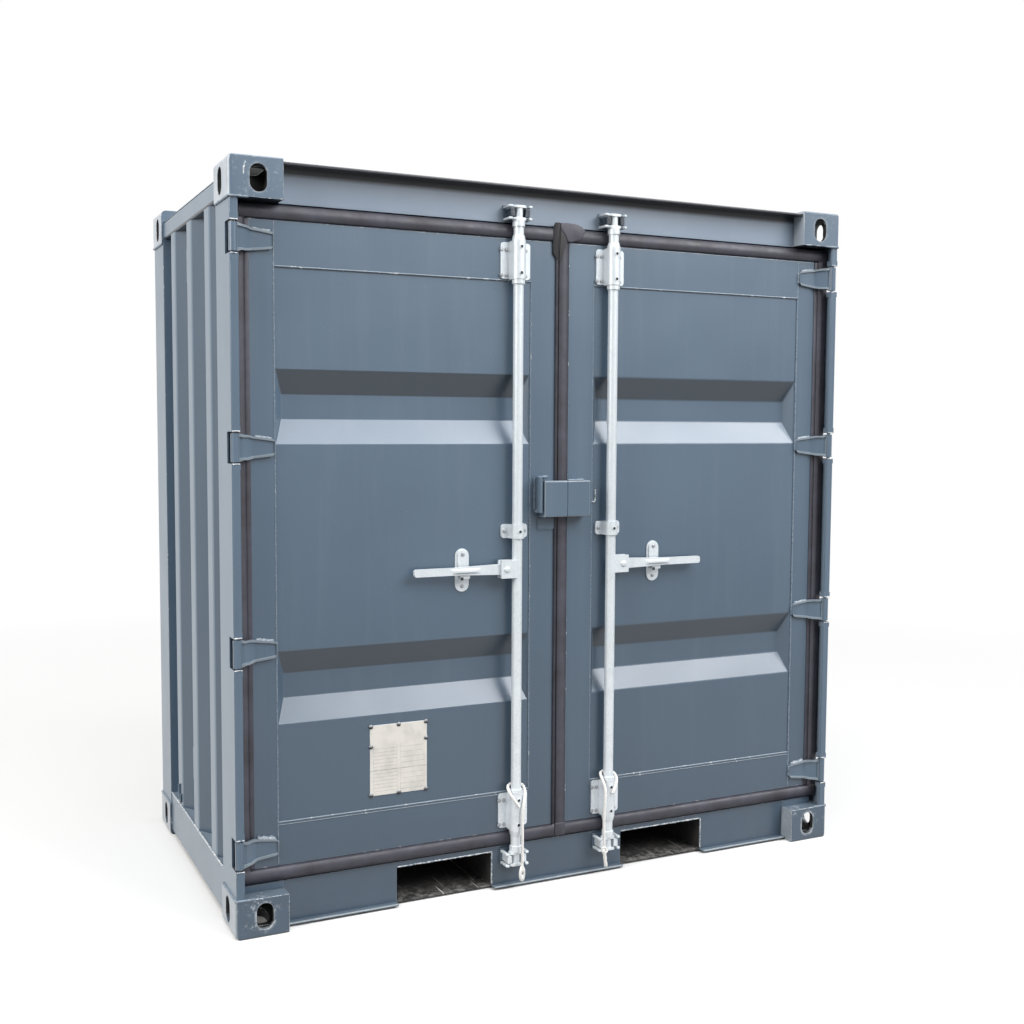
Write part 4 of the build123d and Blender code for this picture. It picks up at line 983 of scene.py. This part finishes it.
def makeBead(start, end, radius, ripple, finish):
    start, end = Vector(start), Vector(end)
    run = end - start
    steps = max(weldRun["leastSteps"], round(run.length / weldRun["step"]))
    turn = run.to_track_quat("Z", "Y").to_euler()
    bpy.ops.object.select_all(action="DESELECT")
    bpy.ops.mesh.primitive_circle_add(
        vertices=weldRun["corners"], radius=radius, location=start, rotation=turn,
    )
    bead = bpy.context.object
    applyPlace(bead)
    bpy.ops.object.mode_set(mode="EDIT")
    bpy.ops.mesh.select_all(action="SELECT")
    bpy.ops.mesh.extrude_repeat(steps=steps, offset=tuple(run / steps))
    bpy.ops.mesh.select_all(action="SELECT")
    bpy.ops.mesh.fill_holes(sides=0)
    bpy.ops.mesh.normals_make_consistent(inside=False)
    bpy.ops.object.mode_set(mode="OBJECT")
    rough = bead.modifiers.new("ripple", "DISPLACE")
    rough.texture = weldRipple
    rough.texture_coords = "LOCAL"
    rough.strength = ripple
    applyModifiers(bead)
    bpy.ops.object.shade_smooth()
    setFinish(bead, finish)
    return bead


def levelRun(first, last, y, z, run):
    return makeBead((first, y, z), (last, y, z), *run)


def uprightRun(x, y, first, last, run):
    return makeBead((x, y, first), (x, y, last), *run)


def inwardRun(x, first, last, z, run):
    return makeBead((x, first, z), (x, last, z), *run)


doorSeam = {
    "stile": (0.0028, 0.0030, seamWeld), "stileSink": 0.0012, "stileEnds": 0.004,
    "lockStile": (0.0018, 0.0022, seamWeld), "lockRise": 0.001,
    # the rail seams take the edge paint with its painted highlight
    "rail": (0.0030, 0.0008, edgeWearAndHighlight), "railRise": 0.0015,
    "second": (0.0018, 0.0006, edgeWearAndHighlight), "secondSink": 0.0006, "secondDrop": 0.008,
    "tip": (0.0042, 0.0040, seamWeld), "tipX": 0.9585, "tipHalf": 0.019, "tipRise": 0.001,
    "lumpStart": (0.010, 0.0250), "lumpEnd": (0.062, 0.0315), "lumpRise": 0.002, "rippleShare": 1.5,
    "small": 0.0032, "large": 0.0056, "lowest": 0.0082,
}


def weldDoor(side, sign):
    face, panel = deep(doorEnd["face"]), deep(doorEnd["panel"])
    outer, inner, tip = (sign * x for x in (doorEnd["hingeStile"], doorEnd["lockStile"], doorSeam["tipX"]))
    low, top, ends = doorEnd["panelLow"], doorEnd["panelTop"], doorSeam["stileEnds"]
    stileY, railY = face + doorSeam["stileSink"], panel - doorSeam["railRise"]
    rough = [
        uprightRun(outer, stileY, doorEnd["low"] + ends, doorEnd["top"] - ends, doorSeam["stile"]),
        uprightRun(inner, panel - doorSeam["lockRise"], low, top, doorSeam["lockStile"]),
    ]
    even = [levelRun(outer, inner, railY, z, doorSeam["rail"]) for z in (top, low)]
    secondY, secondZ = face + doorSeam["secondSink"], low - doorSeam["secondDrop"]
    even.append(levelRun(outer, inner, secondY, secondZ, doorSeam["second"]))
    for middle in doorEnd["hinges"]:
        tipLow, tipTop = middle - doorSeam["tipHalf"], middle + doorSeam["tipHalf"]
        rough.append(uprightRun(tip, face - doorSeam["tipRise"], tipLow, tipTop, doorSeam["tip"]))
        upper = doorSeam["lowest"] if middle == doorEnd["hinges"][0] else doorSeam["large"]
        for edge, lump, finish in ((-1, doorSeam["small"], seamWeld), (1, upper, lumpWeld)):
            start, end = (
                (tip + sign * x, face - doorSeam["lumpRise"], middle + edge * z)
                for x, z in (doorSeam["lumpStart"], doorSeam["lumpEnd"])
            )
            rough.append(makeBead(start, end, lump, lump * doorSeam["rippleShare"], finish))
    rideOn(rough, side + "DoorWelds", side + "_door")
    rideOn(even, side + "DoorSeams", side + "_door")


for side, sign in sides:
    weldDoor(side, sign)

# frame welds: hinge notches, casting joints and the torn paint round the fork openings
frameSeam = {
    "notch": (0.0022, 0.0026, paleWeld), "notchX": (1.0935, 1.0705),
    "notchDepth": 0.0056, "notchHalf": 0.0475,
    "casting": (0.0042, 0.0036, seamWeld), "castingLevels": (2.1625, 0.1175), "castingX": (1.094, 1.040),
    "castingDepth": 0.003, "castingSide": 1.0965, "castingRuns": ((0.006, 0.172), (1.047, 1.213)),
    "rail": (0.0030, 0.0026, paleWeld), "railX": 1.0915, "railHalf": 0.430, "railZ": 0.1602,
    "torn": (0.0024, 0.0034, paleWeld), "forkX": 0.410, "forkHalf": 0.165, "forkTop": 0.124, "forkLow": 0.016,
    "sillFace": 0.058, "tornRise": 0.0004,
    "lip": (0.0013, 0.0030, paleWeld), "lipRuns": ((0.1172, 1.096, 0.942), (2.1628, 1.060, 0.942)),
    "lipDepth": 0.0012, "lipSide": (0.0012, 0.0028, paleWeld), "lipSideX": 0.9388,
    "lipSideRun": (0.114, 0.010),
}


def weldFrame(side, sign):
    pale, plain = [], []
    outer, inner = (sign * x for x in frameSeam["notchX"])
    for middle in doorEnd["hinges"]:
        for edge in (-1, 1):
            z = middle + edge * frameSeam["notchHalf"]
            pale.append(levelRun(outer, inner, deep(frameSeam["notchDepth"]), z, frameSeam["notch"]))
    outer, inner = (sign * x for x in frameSeam["castingX"])
    for z in frameSeam["castingLevels"]:
        plain.append(levelRun(outer, inner, deep(frameSeam["castingDepth"]), z, frameSeam["casting"]))
        for first, last in frameSeam["castingRuns"]:
            x = sign * frameSeam["castingSide"]
            plain.append(inwardRun(x, deep(first), deep(last), z, frameSeam["casting"]))
    half = frameSeam["railHalf"]
    plain.append(inwardRun(sign * frameSeam["railX"], -half, half, frameSeam["railZ"], frameSeam["rail"]))
    low, high = sorted(sign * (frameSeam["forkX"] + way * frameSeam["forkHalf"]) for way in (-1, 1))
    y, z = deep(frameSeam["sillFace"]) - frameSeam["tornRise"], frameSeam["forkTop"]
    pale.append(levelRun(low, high, y, z, frameSeam["torn"]))
    pale.append(uprightRun(high, y, z, frameSeam["forkLow"], frameSeam["torn"]))
    y = deep(frameSeam["lipDepth"])
    for z, first, last in frameSeam["lipRuns"]:
        pale.append(levelRun(sign * first, sign * last, y, z, frameSeam["lip"]))
    pale.append(uprightRun(sign * frameSeam["lipSideX"], y, *frameSeam["lipSideRun"], frameSeam["lipSide"]))
    rideOn(pale, side + "FrameTornPaint", "frame")
    rideOn(plain, side + "FrameWelds", "frame")


for side, sign in sides:
    weldFrame(side, sign)

# lumps of weld on the lock box and the hooked mark beside it: start, end and run, with depths for y
lockBoxWelds = {
    "left": (
        ((-0.097, 0.031, 1.3520), (-0.064, 0.031, 1.3520), (0.0046, 0.006, seamWeld)),
        ((-0.0985, 0.036, 1.2400), (-0.0985, 0.048, 1.2390), (0.0062, 0.006, seamWeld)),
        ((-0.1000, 0.051, 1.2380), (-0.1000, 0.051, 1.3500), (0.0036, 0.005, seamWeld)),
    ),
    "right": (
        ((0.004, 0.013, 1.3410), (0.060, 0.013, 1.3410), (0.0046, 0.005, seamWeld)),
        ((0.1290, 0.0535, 1.3060), (0.1290, 0.0535, 1.2720), (0.0028, 0.002, paleWeld)),
        ((0.1290, 0.0535, 1.2720), (0.1235, 0.0530, 1.2640), (0.0030, 0.002, paleWeld)),
        ((0.1235, 0.0530, 1.2640), (0.1150, 0.0525, 1.2660), (0.0028, 0.002, paleWeld)),
    ),
}
for side, welds in lockBoxWelds.items():
    beads = []
    for *places, run in welds:
        start, end = ((x, deep(depth), z) for x, depth, z in places)
        beads.append(makeBead(start, end, *run))
    rideOn(beads, side + "LockBoxWelds", side + "_door")
print("welds made")

# thin plates: a ring of points laid out on the face, drawn back and rounded
plateRounding = {"segments": 3, "corner": 40, "smooth": 35}


def makePlate(name, outline, thick, rounding, finish):
    bpy.ops.object.select_all(action="DESELECT")
    bpy.ops.mesh.primitive_circle_add(vertices=len(outline), radius=0.01, fill_type="NGON")
    plate = bpy.context.object
    plate.name = name
    for vertex, (x, depth, z) in zip(plate.data.vertices, outline):
        vertex.co = (x, deep(depth), z)
    bpy.ops.object.mode_set(mode="EDIT")
    bpy.ops.mesh.select_all(action="SELECT")
    bpy.ops.mesh.extrude_region_move(TRANSFORM_OT_translate={"value": (0, thick, 0)})
    bpy.ops.mesh.select_all(action="SELECT")
    bpy.ops.mesh.normals_make_consistent(inside=False)
    bpy.ops.object.mode_set(mode="OBJECT")
    soft = plate.modifiers.new("soft", "BEVEL")
    soft.width = rounding
    soft.segments = plateRounding["segments"]
    soft.limit_method = "ANGLE"
    soft.angle_limit = math.radians(plateRounding["corner"])
    applyModifiers(plate)
    bpy.ops.object.shade_smooth_by_angle(angle=math.radians(plateRounding["smooth"]))
    setFinish(plate, finish)
    return plate


def boxOutline(first, last, depth, low, top):
    return [(first, depth, low), (last, depth, low), (last, depth, top), (first, depth, top)]


# gasket: the lap at the foot of the middle seal and the fold at its head, parted between the doors
# each plate has an outline, its thickness, its rounding and its finish
gasketLap = boxOutline(-0.0185, 0.022, 0.0446, 0.1475, 0.191), 0.006, 0.003, lapRubber
# fold and tuck: near-black rubber as painted shade
gasketFold = [
    (-0.040, 0.0446, 2.146), (-0.034, 0.038, 2.172), (-0.0195, 0.034, 2.172), (-0.0195, 0.036, 2.100),
    (-0.0195, 0.0446, 2.047), (-0.031, 0.0446, 2.062), (-0.040, 0.0446, 2.074),
], 0.010, 0.002, foldShadeRubber
gasketTuck = [
    (-0.018, 0.034, 2.153), (0.0, 0.036, 2.130), (0.008, 0.038, 2.113), (-0.004, 0.041, 2.078),
    (-0.018, 0.0446, 2.046),
], 0.009, 0.001, foldShadeRubber
# flap: lighter rubber as painted light
gasketFlap = [
    (-0.018, 0.033, 2.171), (0.004, 0.034, 2.173), (0.045, 0.038, 2.171), (0.063, 0.041, 2.166),
    (0.082, 0.0446, 2.151), (0.060, 0.0442, 2.124), (0.024, 0.040, 2.112), (0.009, 0.037, 2.114),
    (0.001, 0.035, 2.131), (-0.018, 0.033, 2.154),
], 0.010, 0.003, flapLightRubber
gasketLip = {
    "outer": 1.0430, "inner": 1.0290, "depth": 0.0485, "low": 0.192, "top": 2.110,
    "thick": 0.0038, "round": 0.0015,
}
rideOn([makePlate("gasketLap", *gasketLap)], "gasketLap", "right_door")
rideOn([makePlate("gasketFold", *gasketFold)], "gasketFold", "left_door")
flapParts = [makePlate("gasketFlap", *gasketFlap), makePlate("gasketTuck", *gasketTuck)]
rideOn(flapParts, "gasketFlap", "right_door")
for side, sign in sides:
    outer, inner = sign * gasketLip["outer"], sign * gasketLip["inner"]
    outline = boxOutline(outer, inner, gasketLip["depth"], gasketLip["low"], gasketLip["top"])
    lip = makePlate("gasketLip", outline, gasketLip["thick"], gasketLip["round"], lapRubber)
    rideOn([lip], side + "GasketLip", side + "_door")

# sill: shoulders that close the gap over the lower castings, and a painted highlight along the toe at its
# foot
sillEnds = {
    "inner": 0.938, "outer": 1.066, "low": 0.118, "top": 0.1405, "depth": 0.058,
    "thick": 0.006, "round": 0.0008,
}
sillToe = {
    "runs": ((-0.936, -0.577), (-0.243, 0.243), (0.577, 0.936)), "depth": 0.0385, "z": 0.0090,
    "run": (0.0040, 0.0012, toeHighlight),
}


def finishSill():
    parts = []
    for side, sign in sides:
        inner, outer = sign * sillEnds["inner"], sign * sillEnds["outer"]
        outline = boxOutline(inner, outer, sillEnds["depth"], sillEnds["low"], sillEnds["top"])
        parts.append(makePlate("sillShoulder", outline, sillEnds["thick"], sillEnds["round"], bodyPaint))
    for start, end in sillToe["runs"]:
        parts.append(levelRun(start, end, deep(sillToe["depth"]), sillToe["z"], sillToe["run"]))
    rideOn(parts, "sillFinish", "frame")


finishSill()

# keeper horns: pairs of short zinc plates above and below each cam, fixed to header and sill
keeperHorns = {
    "levels": (0.085, 0.123, 2.169, 2.207), "near": 0.0300, "far": 0.0410, "half": 0.0036, "front": 0.006,
    "farFront": 0.010, "thick": 0.052, "round": 0.0016,
}


def hornPlates():
    parts, front, farFront = [], keeperHorns["front"], keeperHorns["farFront"]
    for side, sign in sides:
        rod = sign * doorEnd["rod"]
        for level in keeperHorns["levels"]:
            low, high = level - keeperHorns["half"], level + keeperHorns["half"]
            for way in (-1, 1):
                near, far = rod + way * keeperHorns["near"], rod + way * keeperHorns["far"]
                outline = [
                    (near, front, low), (far, farFront, low), (far, farFront, high), (near, front, high),
                ]
                parts.append(
                    makePlate("keeperHorn", outline, keeperHorns["thick"], keeperHorns["round"], zincGear)
                )
    rideOn(parts, "keeperHorns", "frame")


hornPlates()

# dark slot in the catch under each handle: a plate painted dark as the slot's shade
catchSlot = {"x": -0.011, "z": -0.0245, "half": 0.0048, "rise": 0.0006, "thick": 0.0012, "round": 0.0003}


def makeCatchSlot(side, sign):
    x, z = sign * doorEnd["catch"] + catchSlot["x"], doorEnd["handle"] + catchSlot["z"]
    half = catchSlot["half"]
    depth = frontOf(side + "_handle_catch", x, z) - doorEnd["front"] - catchSlot["rise"]
    outline = boxOutline(x - half, x + half, depth, z - half, z + half)
    slot = makePlate("catchSlot", outline, catchSlot["thick"], catchSlot["round"], darkHole)
    rideOn([slot], side + "CatchSlot", side + "_door")


for side, sign in sides:
    makeCatchSlot(side, sign)

# the long curved scratch on the upper left casting, just proud of its face
castingScratch = {
    "outline": (
        (-1.0490, 2.2620), (-1.0462, 2.2585), (-1.0515, 2.2430), (-1.0522, 2.2265),
        (-1.0552, 2.2235), (-1.0556, 2.2430), (-1.0528, 2.2560),
    ),
    "depth": -0.0002, "thick": 0.0008, "round": 0.0002,
}
scratchOutline = [(x, castingScratch["depth"], z) for x, z in castingScratch["outline"]]
scratch = makePlate(
    "castingScratch", scratchOutline, castingScratch["thick"], castingScratch["round"], paleWeld,
)
rideOn([scratch], "castingScratch", "frame")
print("gasket folds, sill, horns and marks made")

# tie ropes: three strands laid along a route of points, in metres from the hitch on the rod
ropeHitch = {"y": -0.5845, "z": 0.3425}
ropeLay = {"diameter": 0.009, "strands": 3, "strand": 0.0031, "offset": 0.0022, "pitch": 0.027, "sides": 8}
tieRoutes = {
    "left": [
        (-0.001, -0.0285, -0.062), (-0.014, -0.0255, -0.042), (-0.028, -0.013, -0.017),
        (-0.027, 0.009, 0.001),
        (-0.010, 0.022, 0.004), (0.013, 0.021, 0.005), (0.028, 0.006, 0.002), (0.0285, -0.012, -0.015),
        (0.019, -0.026, -0.042), (0.011, -0.0305, -0.070), (0.009, -0.031, -0.122), (0.010, -0.0315, -0.192),
        (0.008, -0.033, -0.262),
    ],
    "right": [
        (0.001, -0.0285, -0.060), (0.014, -0.0255, -0.041), (0.028, -0.013, -0.016), (0.027, 0.009, 0.001),
        (0.010, 0.022, 0.004), (-0.013, 0.021, 0.005), (-0.028, 0.006, 0.002), (-0.0285, -0.012, -0.015),
        (-0.025, -0.026, -0.040), (-0.027, -0.030, -0.070), (-0.031, -0.0305, -0.122),
        (-0.033, -0.031, -0.190),
        (-0.030, -0.0315, -0.245),
    ],
}


def curveMesh(name, places, steps, closed=False, thick=0.0):
    curve = bpy.data.curves.new(name, "CURVE")
    curve.dimensions = "3D"
    curve.resolution_u = steps
    curve.bevel_depth = thick
    curve.bevel_resolution = 3
    spline = curve.splines.new("NURBS")
    spline.points.add(len(places) - 1)
    for point, place in zip(spline.points, places):
        point.co = (*place, 1.0)
    spline.order_u = 3
    spline.use_endpoint_u = not closed
    spline.use_cyclic_u = closed
    line = linkMesh(name, curve)
    mesh = bpy.data.meshes.new_from_object(line)
    bpy.data.objects.remove(line)
    return mesh


def ropeRings(points):  # place, two directions across the rope and length so far, along the route
    rings, along, side = [], 0.0, Vector((1, 0, 0))
    for index, point in enumerate(points):
        ahead = (points[min(index + 1, len(points) - 1)] - points[max(index - 1, 0)]).normalized()
        side = (side - ahead * side.dot(ahead)).normalized()
        if index:
            along += (point - points[index - 1]).length
        rings.append((point, side.copy(), ahead.cross(side), along))
    return rings


def smoothFibre(piece):
    setFinish(piece, whiteFibre)
    pickOnly(piece)
    bpy.ops.object.shade_smooth()


def strandMesh(points, name):
    places, faces, corners, last = [], [], ropeLay["sides"], len(points) - 1
    for strand in range(ropeLay["strands"]):
        start = len(places)
        for point, side, up, along in ropeRings(points):
            twist = 2 * math.pi * (along / ropeLay["pitch"] + strand / ropeLay["strands"])
            outward = side * math.cos(twist) + up * math.sin(twist)
            across = up * math.cos(twist) - side * math.sin(twist)
            for corner in range(corners):
                angle = 2 * math.pi * corner / corners
                reach = (outward * math.cos(angle) + across * math.sin(angle)) * ropeLay["strand"]
                places.append(point + outward * ropeLay["offset"] + reach)
        for ring in range(last):
            for corner in range(corners):
                first = start + ring * corners + corner
                second = start + ring * corners + (corner + 1) % corners
                faces.append((first, second, second + corners, first + corners))
        faces.append(tuple(start + corner for corner in reversed(range(corners))))
        faces.append(tuple(start + last * corners + corner for corner in range(corners)))
    mesh = bpy.data.meshes.new(name)
    mesh.from_pydata(places, [], faces)
    rope = linkMesh(name, mesh)
    smoothFibre(rope)
    return rope


eyeLoop = {
    "major": 0.0078, "minor": 0.0054, "segments": (32, 12), "scale": (0.95, 2.1, 0.8), "drop": 0.020,
    "turn": 0.25, "fray": 0.0012, "frayGrain": 0.006,
}


def makeEye(end):
    bpy.ops.object.select_all(action="DESELECT")
    bpy.ops.mesh.primitive_torus_add(
        major_radius=eyeLoop["major"], minor_radius=eyeLoop["minor"],
        major_segments=eyeLoop["segments"][0], minor_segments=eyeLoop["segments"][1],
        location=(end.x, end.y, end.z - eyeLoop["drop"]), rotation=(math.pi / 2, 0, eyeLoop["turn"]),
    )
    eye = bpy.context.object
    eye.scale = eyeLoop["scale"]
    applyPlace(eye)
    pull = eye.modifiers.new("fray", "DISPLACE")
    pull.texture = bpy.data.textures.new("eyeFray", "CLOUDS")
    pull.texture.noise_scale = eyeLoop["frayGrain"]
    pull.strength = eyeLoop["fray"]
    applyModifiers(eye)
    eye.name = "leftRopeEye"
    smoothFibre(eye)
    return eye


knotTail = {
    "size": 0.0085, "cord": 0.0040, "points": 18, "steps": 12, "swell": 0.45,
    "widthShare": 0.75, "depthShare": 0.42,
    "drop": 0.006, "tailTop": (0, 0, -0.012), "tailFoot": (0.007, 0, -0.064),
    "tail": (0.0062, 0.0035, whiteFibre),
}


def makeKnot(end):
    places = []
    for index in range(knotTail["points"]):
        turn = 2 * math.pi * index / knotTail["points"]
        reach = knotTail["size"] * (1 + knotTail["swell"] * math.cos(3 * turn))
        places.append((
            end.x + reach * math.cos(2 * turn) * knotTail["widthShare"],
            end.y + knotTail["size"] * knotTail["depthShare"] * math.sin(3 * turn),
            end.z - knotTail["drop"] + reach * math.sin(2 * turn),
        ))
    mesh = curveMesh("rightRopeKnotLine", places, knotTail["steps"], closed=True, thick=knotTail["cord"])
    knot = linkMesh("rightRopeKnot", mesh)
    smoothFibre(knot)
    top, foot = (end + Vector(knotTail[name]) for name in ("tailTop", "tailFoot"))
    return joinPieces([knot, makeBead(top, foot, *knotTail["tail"])], "rightRopeKnot")


for (side, sign), makeEnd in zip(sides, (makeEye, makeKnot)):
    hitch = sign * doorEnd["rod"], ropeHitch["y"], ropeHitch["z"]
    route = [tuple(start + step for start, step in zip(hitch, place)) for place in tieRoutes[side]]
    line = curveMesh(side + "RopeLine", route, 24)
    points = [vertex.co.copy() for vertex in line.vertices]
    rope = strandMesh(points, side + "TieRope")
    end = makeEnd(points[-1])
    for piece in (rope, end):
        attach(piece, side + "_door")
    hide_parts(side + "_tie_rope")
print("ropes made")

# studio: pale floor, white surround, soft lamps
studio = {
    "floorColour": (0.80, 0.80, 0.80), "floorBounce": (0.10, 0.10, 0.10),
    "floorSize": 60.0, "floorZ": -0.0005,
    "floorRough": 0.9, "floorShine": 0.1, "floorGlow": (2.2, 6.0, 0.45, 1.0), "underEdge": (-0.03, 0.07),
    "skyTop": (1.0, 1.0, 1.0), "skySide": (0.62, 0.63, 0.65), "skyStrength": 0.26, "skyRise": (-0.1, 0.8),
    "lamps": (
        ("keyLamp", (5.1, -6.7, 6.9), (0.0, -0.5, 1.1), (7.5, 5.0), 1050.0, (1.0, 1.0, 1.0)),
        ("topLamp", (-0.5, -2.5, 9.0), (0.0, -0.5, 1.0), (7.0, 7.0), 620.0, (1.0, 1.0, 1.0)),
        ("sideLamp", (-8.0, -1.6, 5.0), (0.0, 0.0, 1.1), (5.0, 5.0), 830.0, (1.0, 0.98, 0.95)),
    ),
}


def seenStraight(tree):  # looked at or mirrored, and not only lighting something else
    path = tree.nodes.new("ShaderNodeLightPath")
    seen = calc("MAXIMUM", path.outputs["Is Camera Ray"], path.outputs["Is Glossy Ray"])
    return calc("MAXIMUM", seen, path.outputs["Is Transmission Ray"])


def mixSurface(tree, factor, first, second, kind):
    mix = tree.nodes.new("ShaderNodeMixShader")
    for index, value in enumerate((factor, first, second)):
        plug(mix.inputs[index], value)
    output = next(node for node in tree.nodes if node.type == kind)
    plug(output.inputs["Surface"], mix.outputs[0])


def makeFloor():
    bpy.ops.object.select_all(action="DESELECT")
    bpy.ops.mesh.primitive_plane_add(size=studio["floorSize"], location=(0, 0, studio["floorZ"]))
    floor = bpy.context.object
    floor.name = "studioFloor"
    finish, shader, coords = startFinish("studioFloor")
    tree = finish.node_tree
    shader.inputs["Roughness"].default_value = studio["floorRough"]
    shader.inputs["Specular IOR Level"].default_value = studio["floorShine"]
    seen = seenStraight(tree)
    plug(shader.inputs["Base Color"], mixColour(seen, studio["floorBounce"], studio["floorColour"]))
    reach = tree.nodes.new("ShaderNodeVectorMath")
    reach.operation = "LENGTH"
    plug(reach.inputs[0], coords)
    fade = remap(reach.outputs["Value"], *studio["floorGlow"])
    edges = [
        calc("SUBTRACT", calc("ABSOLUTE", axisValue(coords, axis)), half)
        for axis, half in ((0, cadHigh.x), (1, cadHigh.y))
    ]
    fade = product(fade, remap(calc("MAXIMUM", *edges), *studio["underEdge"]))  # no glow under the container
    glow = tree.nodes.new("ShaderNodeEmission").outputs[0]
    mixSurface(tree, product(fade, seen), shader.outputs[0], glow, "OUTPUT_MATERIAL")
    setFinish(floor, finish)


def makeSky():
    world = bpy.data.worlds.new("studioSky")
    bpy.context.scene.world = world
    world.use_nodes = True
    tree = world.node_tree
    light = next(node for node in tree.nodes if node.type == "BACKGROUND")
    light.inputs["Strength"].default_value = studio["skyStrength"]
    upward = axisValue(tree.nodes.new("ShaderNodeTexCoord").outputs["Generated"], 2)
    colour = mixColour(remap(upward, *studio["skyRise"]), studio["skySide"], studio["skyTop"])
    plug(light.inputs["Color"], colour)
    white = tree.nodes.new("ShaderNodeBackground")
    white.inputs["Color"].default_value = (1, 1, 1, 1)
    mixSurface(tree, seenStraight(tree), light.outputs[0], white.outputs[0], "OUTPUT_WORLD")


def makeLamp(name, place, target, size, power, tint):
    bpy.ops.object.light_add(type="AREA", location=place)
    lamp = bpy.context.object
    lamp.name = name
    lamp.data.shape = "RECTANGLE"
    lamp.data.size, lamp.data.size_y = size
    lamp.data.energy = power
    lamp.data.color = tint
    lamp.rotation_euler = (Vector(target) - Vector(place)).to_track_quat("-Z", "Y").to_euler()


makeFloor()
makeSky()
for lampSettings in studio["lamps"]:
    makeLamp(*lampSettings)
print("studio made")
